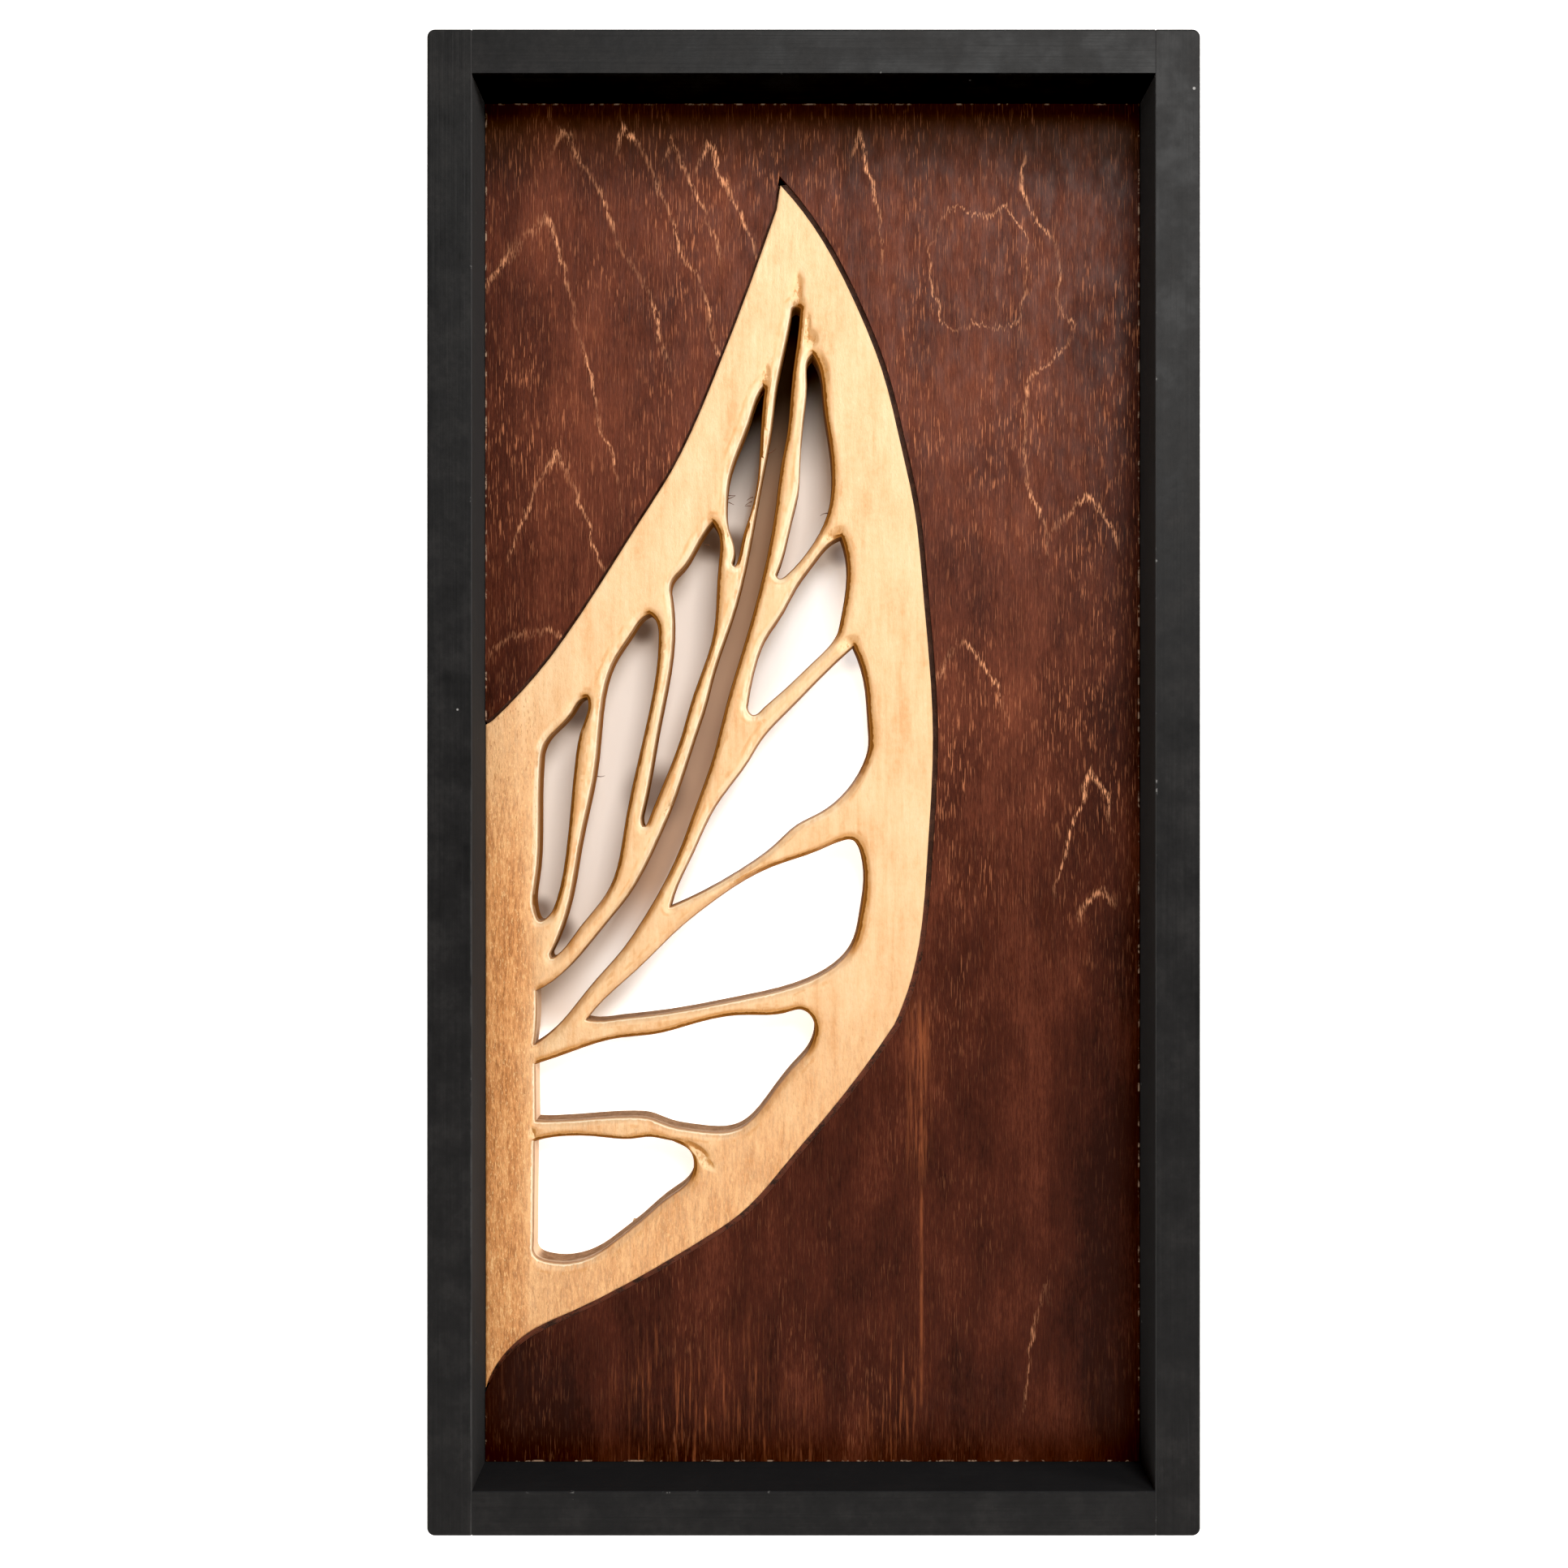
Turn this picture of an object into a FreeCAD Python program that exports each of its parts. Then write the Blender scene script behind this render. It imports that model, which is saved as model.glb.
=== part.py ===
import FreeCAD, Part
import math
import os

import Sketcher

# A framed wooden wing for the wall: a deep tray frame, a plywood panel set back inside it, and a wing
# that is sawn out of the panel, carved through and put back into its own cut-out.
#
# Axes: X runs to the right as seen from the front, the front faces -Y and Z is up. The origin lies on the
# wall, behind the middle of the frame. Every body is drawn from its own back face towards its front, so
# a sketch on the XZ plane shows the piece as seen from the front and its pad grows towards -Y.

SIZES = {
    # frame: two full-height stiles with two rails between them
    "frame_height": 600,
    "frame_width": 308,
    "frame_depth": 48,
    "member_thickness": 18,
    "corner_radius": 3.2,
    "outer_ease": 1.0,
    "inner_ease": 0.4,
    # rubber bumpers hold the frame this far off the wall
    "bumper_height": 3.5,
    "bumper_radius": 6,
    "bumper_round": 1,
    "bumper_inset": 15,
    # panel, and the wing that is sawn out of it and put back a little to the left
    "panel_setback": 26.5,
    "panel_thickness": 15,
    "panel_clearance": 0.3,
    "saw_kerf": 1.6,
    "wing_shift": 0.6,
    # strips behind the panel
    "cleat_width": 12,
    "cleat_thickness": 5.5,
    "splint_length": 50,
    "splint_width": 12,
    "splint_thickness": 4,
    "splint_hole_reach": 15,
    # long screws through the stiles into the rails, under flush plugs
    "corner_shank": 4,
    "corner_length": 50,
    "corner_head": 7.6,
    "corner_head_height": 3,
    "plug_diameter": 8,
    "plug_length": 5,
    "corner_screw_back": 12.5,
    "corner_screw_front": 35.5,
    # countersunk screws of the cleats and splints
    "small_shank": 3,
    "small_length": 12,
    "small_head": 6,
    "small_pilot_depth": 8.5,
    # hangers: a strap with a rolled barrel that holds a D-ring
    "hanger_height": 185,
    "strap_width": 11,
    "strap_length": 31,
    "strap_thickness": 0.6,
    "strap_round": 3,
    "ring_wire": 1.8,
    "ring_width": 14.8,
    "ring_drop": 12,
    "ring_corner": 1.5,
    "barrel_gap": 0.08,
    "barrel_standoff": 1.8,
    "strap_screw_upper": 17.5,
    "strap_screw_lower": 26,
    "strap_hole": 3.3,
    "hanger_shank": 3,
    "hanger_length": 14,
    "hanger_head": 6,
    "hanger_head_height": 1.8,
    "hanger_pilot_depth": 12.5,
    # play between a screw or plug and its hole, on the radius
    "fit_gap": 0.05,
}

# Where the wing touches the left stile.
SPINE = -(SIZES["frame_width"] / 2 - SIZES["member_thickness"] - SIZES["panel_clearance"])

# Outlines are lists of runs, as (x, z) seen from the front. A run is a smooth curve through its points that
# starts where the run before it ends, and a run of one point is a straight line. Runs meet at corners, and
# the last run closes the outline.
WING_EDGE = [
    # leading edge, from the tip down
    [(0, 231.5), (18.2, 198), (30, 167.5), (36.5, 141), (42.2, 114.5), (45.9, 80), (50, 20),
     (47.8, -29), (42.5, -76), (34, -100.5)],
    # lower edge, down to the tail
    [(5.6, -138.6), (-8.7, -155.4), (-30.6, -179.5), (-43.2, -188.2), (-102, -220.5),
     (-118, -228.5), (SPINE, -251.5)],
    # spine, and the shoulder above it
    [(SPINE, 24)],
    [(-133, 25.5)],
    # trailing edge, up to the tip
    [(-113.9, 45.7), (-70.6, 110), (-60, 126.7), (-39.7, 170.9), (-29.9, 196), (-14.8, 238.1)],
    [(-13.3, 248)],
]

# The openings: one long slit up the middle, then those left and right of it, each group from the top down.
WING_OPENINGS = {
    "slit": [
        [(-6.1, 185), (-8.2, 170), (-10.7, 144), (-13.2, 131.3), (-14.6, 120), (-29.3, 54.5),
         (-35.6, 33.4), (-41.9, 9), (-48.2, -8.7), (-55.7, -28.9), (-72.2, -59.5), (-79.8, -70.3),
         (-91.2, -83.2), (-109, -104), (-116, -109.2)],
        [(-115, -100), (-115, -86.9)],
        [(-108, -82.7), (-87.9, -60.8), (-78.3, -49), (-64.9, -24.5), (-58.2, -8.7), (-48.6, 20),
         (-45.2, 30), (-41, 46), (-33.2, 69), (-20.6, 128), (-16.6, 150.5), (-15.3, 162.5),
         (-11.8, 180), (-8.4, 197.5)],
        [(-6.6, 198.6), (-5, 197.5)],
    ],
    "left_1": [
        [(-23.5, 159.5), (-26, 151.5), (-34.6, 127), (-35.6, 117), (-34.8, 106), (-32.4, 97.5),
         (-33.2, 91.5)],
        [(-32.5, 90.2), (-31, 93), (-29.2, 101.4), (-25.2, 114), (-21.4, 148), (-19.8, 164)],
        [(-20.5, 165.2)],
    ],
    "left_2": [
        [(-39.2, 104), (-39.2, 89.8), (-41.4, 61.2), (-50, 35.2), (-54.4, 20), (-66.5, -11.2),
         (-68.8, -17.1)],
        [(-69.9, -18.2), (-71.1, -14.5)],
        [(-68, -0.3), (-64.5, 20), (-58.3, 55.3), (-59.2, 80)],
        [(-57.5, 85.5), (-54, 89.2), (-48.5, 98), (-41.6, 108.5)],
    ],
    "left_3": [
        [(-65, 67), (-64.1, 61), (-66.9, 35.1), (-78.2, -17.9), (-84.9, -44.4), (-97.9, -61.6),
         (-107.4, -72.6), (-108.6, -73.2), (-109.3, -71.5)],
        [(-100.1, -44.1), (-97.1, -26.3), (-90.2, 8.2), (-81.6, 52.8), (-75.7, 61.6),
         (-69.8, 69.2), (-67.8, 70.2)],
    ],
    "left_4": [
        [(-93.4, 33), (-96, 23.3), (-98.8, 10), (-102.2, -25.5), (-107, -50), (-111, -56.5),
         (-113.8, -57.6), (-115.4, -55), (-115.2, -40), (-113.8, 0), (-113.2, 11)],
        [(-111.4, 16.6), (-100.5, 28.8), (-95.5, 35), (-94, 35.4)],
    ],
    "right_1": [
        [(1.8, 175.5), (4.6, 159), (6.9, 143), (4.4, 106.9), (-1.9, 96.4), (-9.5, 87.6),
         (-14, 85.1), (-15, 86.6)],
        [(-12, 95), (-8.6, 109.4), (-5.5, 123), (-5, 132), (-3.6, 151), (-2.3, 168),
         (-1.3, 177), (0, 178.4)],
    ],
    "right_2": [
        [(14.5, 91), (12, 68), (10.7, 62.8), (0.3, 50.2), (-9.8, 40.5), (-20.3, 31.2)],
        [(-25.2, 28.3), (-27.2, 31.5)],
        [(-23.3, 50.6), (-20, 59.3), (-12.3, 71.2), (-6.5, 82), (0.6, 91.8), (7.3, 99.8),
         (11.9, 102.5)],
    ],
    "right_3": [
        [(22.8, 36), (23.5, 25), (23.8, 15), (21.5, 7.5), (3.1, -12.8), (-7.2, -18.3),
         (-14.5, -25), (-27.1, -34.6), (-59.2, -51.8)],
        [(-57.7, -46.5), (-50.4, -30.5), (-40.8, -10.4), (-26.5, 9.4), (-22, 16.9),
         (-9.8, 30.4), (10.3, 50.6), (17.2, 56.8)],
    ],
    "right_4": [
        [(-88.7, -92.4), (-72.7, -77.7), (-56.6, -61.9), (-43.2, -51), (-15.4, -34.6),
         (1.4, -28.8), (12, -24.4), (16, -23.8), (21.2, -33), (20.2, -54), (17.2, -66.8),
         (-10.3, -85.8), (-29.7, -90.3), (-69, -97.1), (-79.4, -98.2), (-90, -99.3),
         (-94, -98.8)],
    ],
    "right_5": [
        [(-108, -115), (-81, -106.6), (-65.1, -104.8), (-50, -100.7), (-29.9, -97),
         (-10, -95.7), (-5, -94.6), (-0.8, -97), (-1.5, -111), (-7, -117.5), (-17, -130),
         (-31, -144.3), (-50, -144.8), (-60, -142.8), (-68, -139.8), (-74, -139.2),
         (-106, -141), (-115.2, -141)],
        [(-115.5, -117.5)],
    ],
    "right_6": [
        [(-108, -147.9), (-90, -147.6), (-74, -148.4), (-69, -147.7), (-60.9, -148.9),
         (-50.4, -154.5), (-51, -165.2), (-60, -172.8), (-70, -181.4), (-80, -189.4),
         (-89.5, -196.1), (-110, -199.6), (-115.2, -197.3), (-116.2, -193)],
        [(-115.8, -149.6)],
    ],
}

# Screws of each cleat: their height in the side cleats, their x in the top and bottom ones. The left
# cleat's middle two go into the wing's spine, and every other one goes into the panel.
CLEAT_SCREWS = {
    "cleat_left": [250, 110, -40, -190, -268],
    "cleat_right": [250, 85, -85, -250],
    "cleat_top": [-75, 75],
    "cleat_bottom": [-75, 75],
}
SPINE_SCREW_HEIGHTS = (-40, -190)

# Splints across the saw kerf: middle (x, z), and the direction of the wing from there.
SPLINTS = {
    "splint_upper_left": ((-67, 118), (1, 0)),
    "splint_upper_right": ((39, 140), (-1, 0)),
    "splint_right": ((51, -45), (-1, 0)),
    "splint_lower": ((-70, -211), (0, 1)),
}

doc = FreeCAD.newDocument("framed_wing")
sheet = doc.addObject("Spreadsheet::Sheet", "sizes")
for row, (alias, value) in enumerate(SIZES.items(), start=1):
    sheet.set(f"A{row}", alias)
    sheet.set(f"B{row}", str(value))
    sheet.setAlias(f"B{row}", alias)
doc.recompute()

# Places that several pieces share, as formulas of the sheet, and the plane of a body's own back face.
BACK_FACE = ("XZ_Plane", "0")
FRAME_BACK = "-sizes.bumper_height"
PANEL_BACK = "-sizes.bumper_height - sizes.frame_depth + sizes.panel_setback + sizes.panel_thickness"
CLEAT_BACK = f"{PANEL_BACK} + sizes.cleat_thickness"
SPLINT_BACK = f"{PANEL_BACK} + sizes.splint_thickness"
OPENING_WIDTH = "(sizes.frame_width - 2 * sizes.member_thickness)"
OPENING_HEIGHT = "(sizes.frame_height - 2 * sizes.member_thickness)"
STILE_CENTRE = "(sizes.frame_width - sizes.member_thickness) / 2"
RAIL_LEVEL = "(sizes.frame_height - sizes.member_thickness) / 2"
BARREL_AXIS = "-sizes.bumper_height + sizes.barrel_standoff"


def evaluate(formula):
    """Value of a sheet formula, for the places that are worked out in the script."""
    return sheet.evalExpression(formula)


def place(item, x, y, z):
    for axis, formula in zip("xyz", (x, y, z)):
        item.setExpression(f"Placement.Base.{axis}", formula)


# ---- building blocks of the bodies ----


def new_body(name):
    body = doc.addObject("PartDesign::Body", name)
    body.Label = name
    return body


def new_sketch(body, name, role, offset="0"):
    """Sketch on one of the body's origin planes, moved along the plane's normal by a formula."""
    sketch = body.newObject("Sketcher::SketchObject", f"{body.Name}_{name}")
    plane = next(item for item in body.Origin.OriginFeatures if item.Role == role)
    sketch.AttachmentSupport = (plane, [""])
    sketch.MapMode = "FlatFace"
    sketch.setExpression("AttachmentOffset.Base.z", offset)
    return sketch


def draw_rectangle(sketch, width, height):
    """Rectangle centred on the sketch's origin, its sides driven by the two formulas."""
    corners = [FreeCAD.Vector(x, y, 0) for x, y in ((-5, -5), (5, -5), (5, 5), (-5, 5))]
    for start, end in zip(corners, corners[1:] + corners[:1]):
        sketch.addGeometry(Part.LineSegment(start, end))
    for side in range(4):
        sketch.addConstraint(Sketcher.Constraint("Coincident", side, 2, (side + 1) % 4, 1))
        level = "Horizontal" if side % 2 == 0 else "Vertical"
        sketch.addConstraint(Sketcher.Constraint(level, side))
    sketch.addConstraint(Sketcher.Constraint("Symmetric", 0, 1, 2, 1, -1, 1))
    for name, kind, side, formula in (("width", "DistanceX", 0, width), ("height", "DistanceY", 1, height)):
        index = sketch.addConstraint(Sketcher.Constraint(kind, side, 1, side, 2, 10))
        sketch.renameConstraint(index, name)
        sketch.setExpression(f"Constraints.{name}", formula)


def draw_circle(sketch, name, radius):
    """Circle round the sketch's origin, its radius driven by the formula."""
    circle = sketch.addGeometry(Part.Circle(FreeCAD.Vector(0, 0, 0), FreeCAD.Vector(0, 0, 1), 1))
    sketch.addConstraint(Sketcher.Constraint("Coincident", circle, 3, -1, 1))
    index = sketch.addConstraint(Sketcher.Constraint("Radius", circle, 1))
    sketch.renameConstraint(index, name)
    sketch.setExpression(f"Constraints.{name}", radius)


def draw_outline(sketch, runs):
    """Closed outline from its runs, with every curve locked where it is drawn."""
    start = runs[-1][-1]
    for run in runs:
        points = [FreeCAD.Vector(x, z, 0) for x, z in [start] + run]
        if len(points) == 2:
            curve = Part.LineSegment(*points)
        else:
            curve = Part.BSplineCurve()
            curve.interpolate(points)
        index = sketch.addGeometry(curve)
        sketch.addConstraint(Sketcher.Constraint("Block", index))
        start = run[-1]


def add_pad(body, sketch, length, symmetric=False):
    pad = body.newObject("PartDesign::Pad", f"{sketch.Name}_pad")
    pad.Profile = sketch
    pad.setExpression("Length", length)
    if symmetric:
        pad.SideType = "Symmetric"
    doc.recompute()
    return pad


def add_fillet(body, name, radius, chosen):
    """Round the edges of the body's tip for which chosen(edge) is true."""
    base = body.Tip
    names = [f"Edge{i}" for i, edge in enumerate(base.Shape.Edges, start=1) if chosen(edge)]
    fillet = body.newObject("PartDesign::Fillet", f"{body.Name}_{name}")
    fillet.Base = (base, names)
    fillet.setExpression("Radius", radius)
    doc.recompute()
    return fillet


def drill(body, name, plane, inward, centres, diameter, depth, cut=None, cut_size=None, cut_depth=None):
    """Drill holes at the centres of a plane, given as its role and the formula of its offset. They run along
    the plane's normal where inward is 1 and against it where inward is -1. cut names their wider mouth."""
    sketch = new_sketch(body, name, *plane)
    for x, y in centres:
        index = sketch.addGeometry(Part.Circle(FreeCAD.Vector(x, y, 0), FreeCAD.Vector(0, 0, 1), 1))
        sketch.addConstraint(Sketcher.Constraint("Block", index))
    doc.recompute()
    before = body.Shape.Volume
    hole = body.newObject("PartDesign::Hole", f"{sketch.Name}_hole")
    hole.Profile = sketch
    hole.Reversed = inward > 0
    hole.ThreadType = "None"
    hole.DrillPoint = "Flat"
    hole.DepthType = "Dimension"
    hole.setExpression("Diameter", diameter)
    hole.setExpression("Depth", depth)
    if cut:
        hole.HoleCutType = cut
        hole.HoleCutCustomValues = True
        hole.setExpression("HoleCutDiameter", cut_size)
        if cut == "Countersink":
            hole.HoleCutCountersinkAngle = 90
        else:
            hole.setExpression("HoleCutDepth", cut_depth)
    doc.recompute()
    one = math.pi * (evaluate(diameter) / 2) ** 2 * evaluate(depth)
    if before - body.Shape.Volume < 0.9 * len(centres) * one:
        raise RuntimeError(f"{sketch.Name}: the holes don't cut as deep as they should")
    return hole


def parallel(edge, axis):
    """Whether a straight edge runs along the axis, 0 for X, 1 for Y or 2 for Z."""
    along = edge.valueAt(edge.LastParameter) - edge.valueAt(edge.FirstParameter)
    return abs(abs(along[axis]) - edge.Length) < 1e-6 and edge.Length > 1e-3


# ---- frame ----


def make_stile(name, side):
    """Full-height member on the left (side -1) or on the right (side 1)."""
    body = new_body(name)
    face = new_sketch(body, "face", "XZ_Plane")
    draw_rectangle(face, "sizes.member_thickness", "sizes.frame_height")
    add_pad(body, face, "sizes.frame_depth")

    def on_outer_corner(edge):
        return parallel(edge, 1) and edge.CenterOfMass.x * side > 0

    def on_front(edge):
        return abs(edge.CenterOfMass.y + SIZES["frame_depth"]) < 1e-3

    def on_inner_side(edge):
        return abs(edge.CenterOfMass.x * side + SIZES["member_thickness"] / 2) < 1e-3

    add_fillet(body, "corners", "sizes.corner_radius", on_outer_corner)
    add_fillet(body, "inner_arris", "sizes.inner_ease", lambda edge: on_front(edge) and on_inner_side(edge))
    outer = add_fillet(
        body,
        "outer_arris",
        "sizes.outer_ease",
        lambda edge: on_front(edge) and edge.CenterOfMass.x * side > SIZES["member_thickness"] / 2 - 2,
    )
    body.Tip = outer
    height = evaluate(RAIL_LEVEL)
    drill(
        body,
        "corner_screws",
        ("YZ_Plane", f"{side} * sizes.member_thickness / 2"),
        -side,
        [(-SIZES[row], z) for row in ("corner_screw_back", "corner_screw_front") for z in (-height, height)],
        "sizes.corner_shank + 2 * sizes.fit_gap",
        "sizes.member_thickness",
        "Counterbore",
        "sizes.plug_diameter",
        "sizes.plug_length + sizes.corner_head_height",
    )
    drill(
        body,
        "hanger_screws",
        BACK_FACE,
        1,
        [(0, SIZES["hanger_height"] - SIZES[drop]) for drop in ("strap_screw_upper", "strap_screw_lower")],
        "sizes.hanger_shank + 2 * sizes.fit_gap",
        "sizes.hanger_pilot_depth",
    )
    place(body, f"{side} * {STILE_CENTRE}", FRAME_BACK, "0")
    return body


def make_rail(name, side):
    """Member between the stiles at the bottom (side -1) or at the top (side 1)."""
    body = new_body(name)
    face = new_sketch(body, "face", "XZ_Plane")
    draw_rectangle(face, OPENING_WIDTH, "sizes.member_thickness")
    add_pad(body, face, "sizes.frame_depth")
    for arris, way in (("outer", 1), ("inner", -1)):
        add_fillet(
            body,
            f"{arris}_arris",
            f"sizes.{arris}_ease",
            lambda edge: parallel(edge, 0)
            and abs(edge.CenterOfMass.y + SIZES["frame_depth"]) < 1e-3
            and edge.CenterOfMass.z * side * way > SIZES["member_thickness"] / 2 - 0.1,
        )
    for end, way in (("left", -1), ("right", 1)):
        drill(
            body,
            f"{end}_screws",
            ("YZ_Plane", f"{way} * {OPENING_WIDTH} / 2"),
            -way,
            [(-SIZES["corner_screw_back"], 0), (-SIZES["corner_screw_front"], 0)],
            "sizes.corner_shank + 2 * sizes.fit_gap",
            "sizes.corner_length + sizes.plug_length - sizes.member_thickness + 1",
        )
    place(body, "0", FRAME_BACK, f"{side} * {RAIL_LEVEL}")
    return body


# ---- panel and wing ----


def widen(runs, gap):
    """The outline moved outward by the gap. It runs clockwise as seen from the front."""
    points = [point for run in runs for point in run]
    count = len(points)
    moved = []
    for i, (x, z) in enumerate(points):
        normals = []
        for (x0, z0), (x1, z1) in ((points[i - 1], (x, z)), ((x, z), points[(i + 1) % count])):
            length = math.hypot(x1 - x0, z1 - z0)
            normals.append((-(z1 - z0) / length, (x1 - x0) / length))
        (ax, az), (bx, bz) = normals
        reach = gap / (1 + ax * bx + az * bz)
        moved.append((x + reach * (ax + bx), z + reach * (az + bz)))
    result = []
    for run in runs:
        result.append(moved[: len(run)])
        moved = moved[len(run) :]
    return result


def splint_holes(name):
    """The splint's two screws: the one in the wing first, then the one in the panel."""
    (x, z), (along_x, along_z) = SPLINTS[name]
    reach = SIZES["splint_hole_reach"]
    return [(x + way * reach * along_x, z + way * reach * along_z) for way in (1, -1)]


def cleat_holes(name):
    """Every screw of a cleat, as (x, z) in the frame."""
    inset = SIZES["cleat_width"] / 2
    side = evaluate(f"{OPENING_WIDTH} / 2") - inset
    level = evaluate(f"{OPENING_HEIGHT} / 2") - inset
    places = {
        "cleat_left": lambda at: (-side, at),
        "cleat_right": lambda at: (side, at),
        "cleat_top": lambda at: (at, level),
        "cleat_bottom": lambda at: (at, -level),
    }
    return [places[name](at) for at in CLEAT_SCREWS[name]]


def in_spine(name, hole):
    return name == "cleat_left" and hole[1] in SPINE_SCREW_HEIGHTS


def make_wing():
    body = new_body("wing")
    face = new_sketch(body, "face", "XZ_Plane")
    for runs in [WING_EDGE, *WING_OPENINGS.values()]:
        draw_outline(face, runs)
    add_pad(body, face, "sizes.panel_thickness")
    pilots = [splint_holes(name)[0] for name in SPLINTS]
    pilots += [hole for hole in cleat_holes("cleat_left") if in_spine("cleat_left", hole)]
    drill(
        body,
        "pilots",
        BACK_FACE,
        1,
        pilots,
        "sizes.small_shank + 2 * sizes.fit_gap",
        "sizes.small_pilot_depth",
    )
    place(body, "0", PANEL_BACK, "0")
    return body


def make_panel():
    """Plywood panel with the cut-out that the saw left round the wing, open at the left stile."""
    body = new_body("panel")
    face = new_sketch(body, "face", "XZ_Plane")
    draw_rectangle(
        face, f"{OPENING_WIDTH} - 2 * sizes.panel_clearance", f"{OPENING_HEIGHT} - 2 * sizes.panel_clearance"
    )
    board = add_pad(body, face, "sizes.panel_thickness")
    cutout = new_sketch(body, "cutout", "XZ_Plane")
    draw_outline(
        cutout,
        [[(x + SIZES["wing_shift"], z) for x, z in run] for run in widen(WING_EDGE, SIZES["saw_kerf"])],
    )
    doc.recompute()
    pocket = body.newObject("PartDesign::Pocket", "panel_cutout_pocket")
    pocket.Profile = cutout
    pocket.Type = "ThroughAll"
    pocket.Reversed = True
    doc.recompute()
    if body.Shape.Volume > 0.7 * board.Shape.Volume:
        raise RuntimeError("the wing's cut-out doesn't go through the panel")
    pilots = [splint_holes(name)[1] for name in SPLINTS]
    pilots += [hole for name in CLEAT_SCREWS for hole in cleat_holes(name) if not in_spine(name, hole)]
    drill(
        body,
        "pilots",
        BACK_FACE,
        1,
        pilots,
        "sizes.small_shank + 2 * sizes.fit_gap",
        "sizes.small_pilot_depth",
    )
    place(body, "0", PANEL_BACK, "0")
    return body


# ---- strips behind the panel ----


def make_strip(name, middle, width, height, thickness, back, holes):
    """Flat strip behind the panel, with countersunk holes given as (x, z) in the frame."""
    body = new_body(name)
    face = new_sketch(body, "face", "XZ_Plane")
    draw_rectangle(face, width, height)
    add_pad(body, face, thickness)
    x, z = (evaluate(formula) for formula in middle)
    drill(
        body,
        "screws",
        BACK_FACE,
        1,
        [(hole_x - x, hole_z - z) for hole_x, hole_z in holes],
        "sizes.small_shank + 2 * sizes.fit_gap",
        thickness,
        "Countersink",
        "sizes.small_head",
    )
    place(body, middle[0], back, middle[1])
    return body


def make_cleats():
    side = f"({OPENING_WIDTH} - sizes.cleat_width) / 2"
    level = f"({OPENING_HEIGHT} - sizes.cleat_width) / 2"
    upright = ("sizes.cleat_width", OPENING_HEIGHT)
    lying = (f"{OPENING_WIDTH} - 2 * sizes.cleat_width", "sizes.cleat_width")
    layout = {
        "cleat_left": ((f"-{side}", "0"), upright),
        "cleat_right": ((side, "0"), upright),
        "cleat_top": (("0", level), lying),
        "cleat_bottom": (("0", f"-{level}"), lying),
    }
    return [
        make_strip(name, middle, *section, "sizes.cleat_thickness", CLEAT_BACK, cleat_holes(name))
        for name, (middle, section) in layout.items()
    ]


def make_splints():
    strips = []
    for name, ((x, z), (along_x, _)) in SPLINTS.items():
        section = ("sizes.splint_length", "sizes.splint_width")
        if along_x == 0:
            section = section[::-1]
        middle = (str(x), str(z))
        strips.append(
            make_strip(name, middle, *section, "sizes.splint_thickness", SPLINT_BACK, splint_holes(name))
        )
    return strips


# ---- hangers and bumpers ----


def make_strap(name, side):
    """Strap drawn round the axis of its barrel, with the plate hanging down from it."""
    body = new_body(name)
    plate = new_sketch(body, "plate", "XZ_Plane", "sizes.barrel_standoff - sizes.strap_thickness")
    plate.setExpression("AttachmentOffset.Base.y", "-sizes.strap_length / 2")
    draw_rectangle(plate, "sizes.strap_width", "sizes.strap_length")
    add_pad(body, plate, "sizes.strap_thickness")
    add_fillet(
        body,
        "ends",
        "sizes.strap_round",
        lambda edge: parallel(edge, 1) and edge.CenterOfMass.z < -SIZES["strap_length"] / 2,
    )
    barrel = new_sketch(body, "barrel", "YZ_Plane")
    bore = "sizes.ring_wire / 2 + sizes.barrel_gap"
    draw_circle(barrel, "bore", bore)
    draw_circle(barrel, "outside", f"{bore} + sizes.strap_thickness")
    add_pad(body, barrel, "sizes.strap_width", symmetric=True)
    drill(
        body,
        "screws",
        ("XZ_Plane", "sizes.barrel_standoff - sizes.strap_thickness"),
        1,
        [(0, -SIZES["strap_screw_upper"]), (0, -SIZES["strap_screw_lower"])],
        "sizes.strap_hole",
        "sizes.strap_thickness",
    )
    place(body, f"{side} * {STILE_CENTRE}", BARREL_AXIS, "sizes.hanger_height")
    return body


def make_ring(name, side):
    """D-ring of round wire. Its straight bar lies in the barrel, and its bow hangs down."""
    body = new_body(name)
    half = SIZES["ring_width"] / 2
    corner = SIZES["ring_corner"]
    bow_level = half - SIZES["ring_drop"]
    diagonal = corner * (1 - math.sqrt(0.5))

    def at(x, z):
        return FreeCAD.Vector(x, z, 0)

    path = new_sketch(body, "path", "XZ_Plane")
    loop = [
        Part.LineSegment(at(0, 0), at(half - corner, 0)),
        Part.Arc(at(half - corner, 0), at(half - diagonal, -diagonal), at(half, -corner)),
        Part.LineSegment(at(half, -corner), at(half, bow_level)),
        Part.Arc(at(half, bow_level), at(0, -SIZES["ring_drop"]), at(-half, bow_level)),
        Part.LineSegment(at(-half, bow_level), at(-half, -corner)),
        Part.Arc(at(-half, -corner), at(diagonal - half, -diagonal), at(corner - half, 0)),
        Part.LineSegment(at(corner - half, 0), at(0, 0)),
    ]
    for curve in loop:
        index = path.addGeometry(curve)
        path.addConstraint(Sketcher.Constraint("Block", index))
    section = new_sketch(body, "section", "YZ_Plane")
    draw_circle(section, "wire", "sizes.ring_wire / 2")
    doc.recompute()
    bend = body.newObject("PartDesign::AdditivePipe", f"{name}_bend")
    bend.Profile = section
    bend.Spine = (path, [])
    doc.recompute()
    place(body, f"{side} * {STILE_CENTRE}", BARREL_AXIS, "sizes.hanger_height")
    return body


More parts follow.
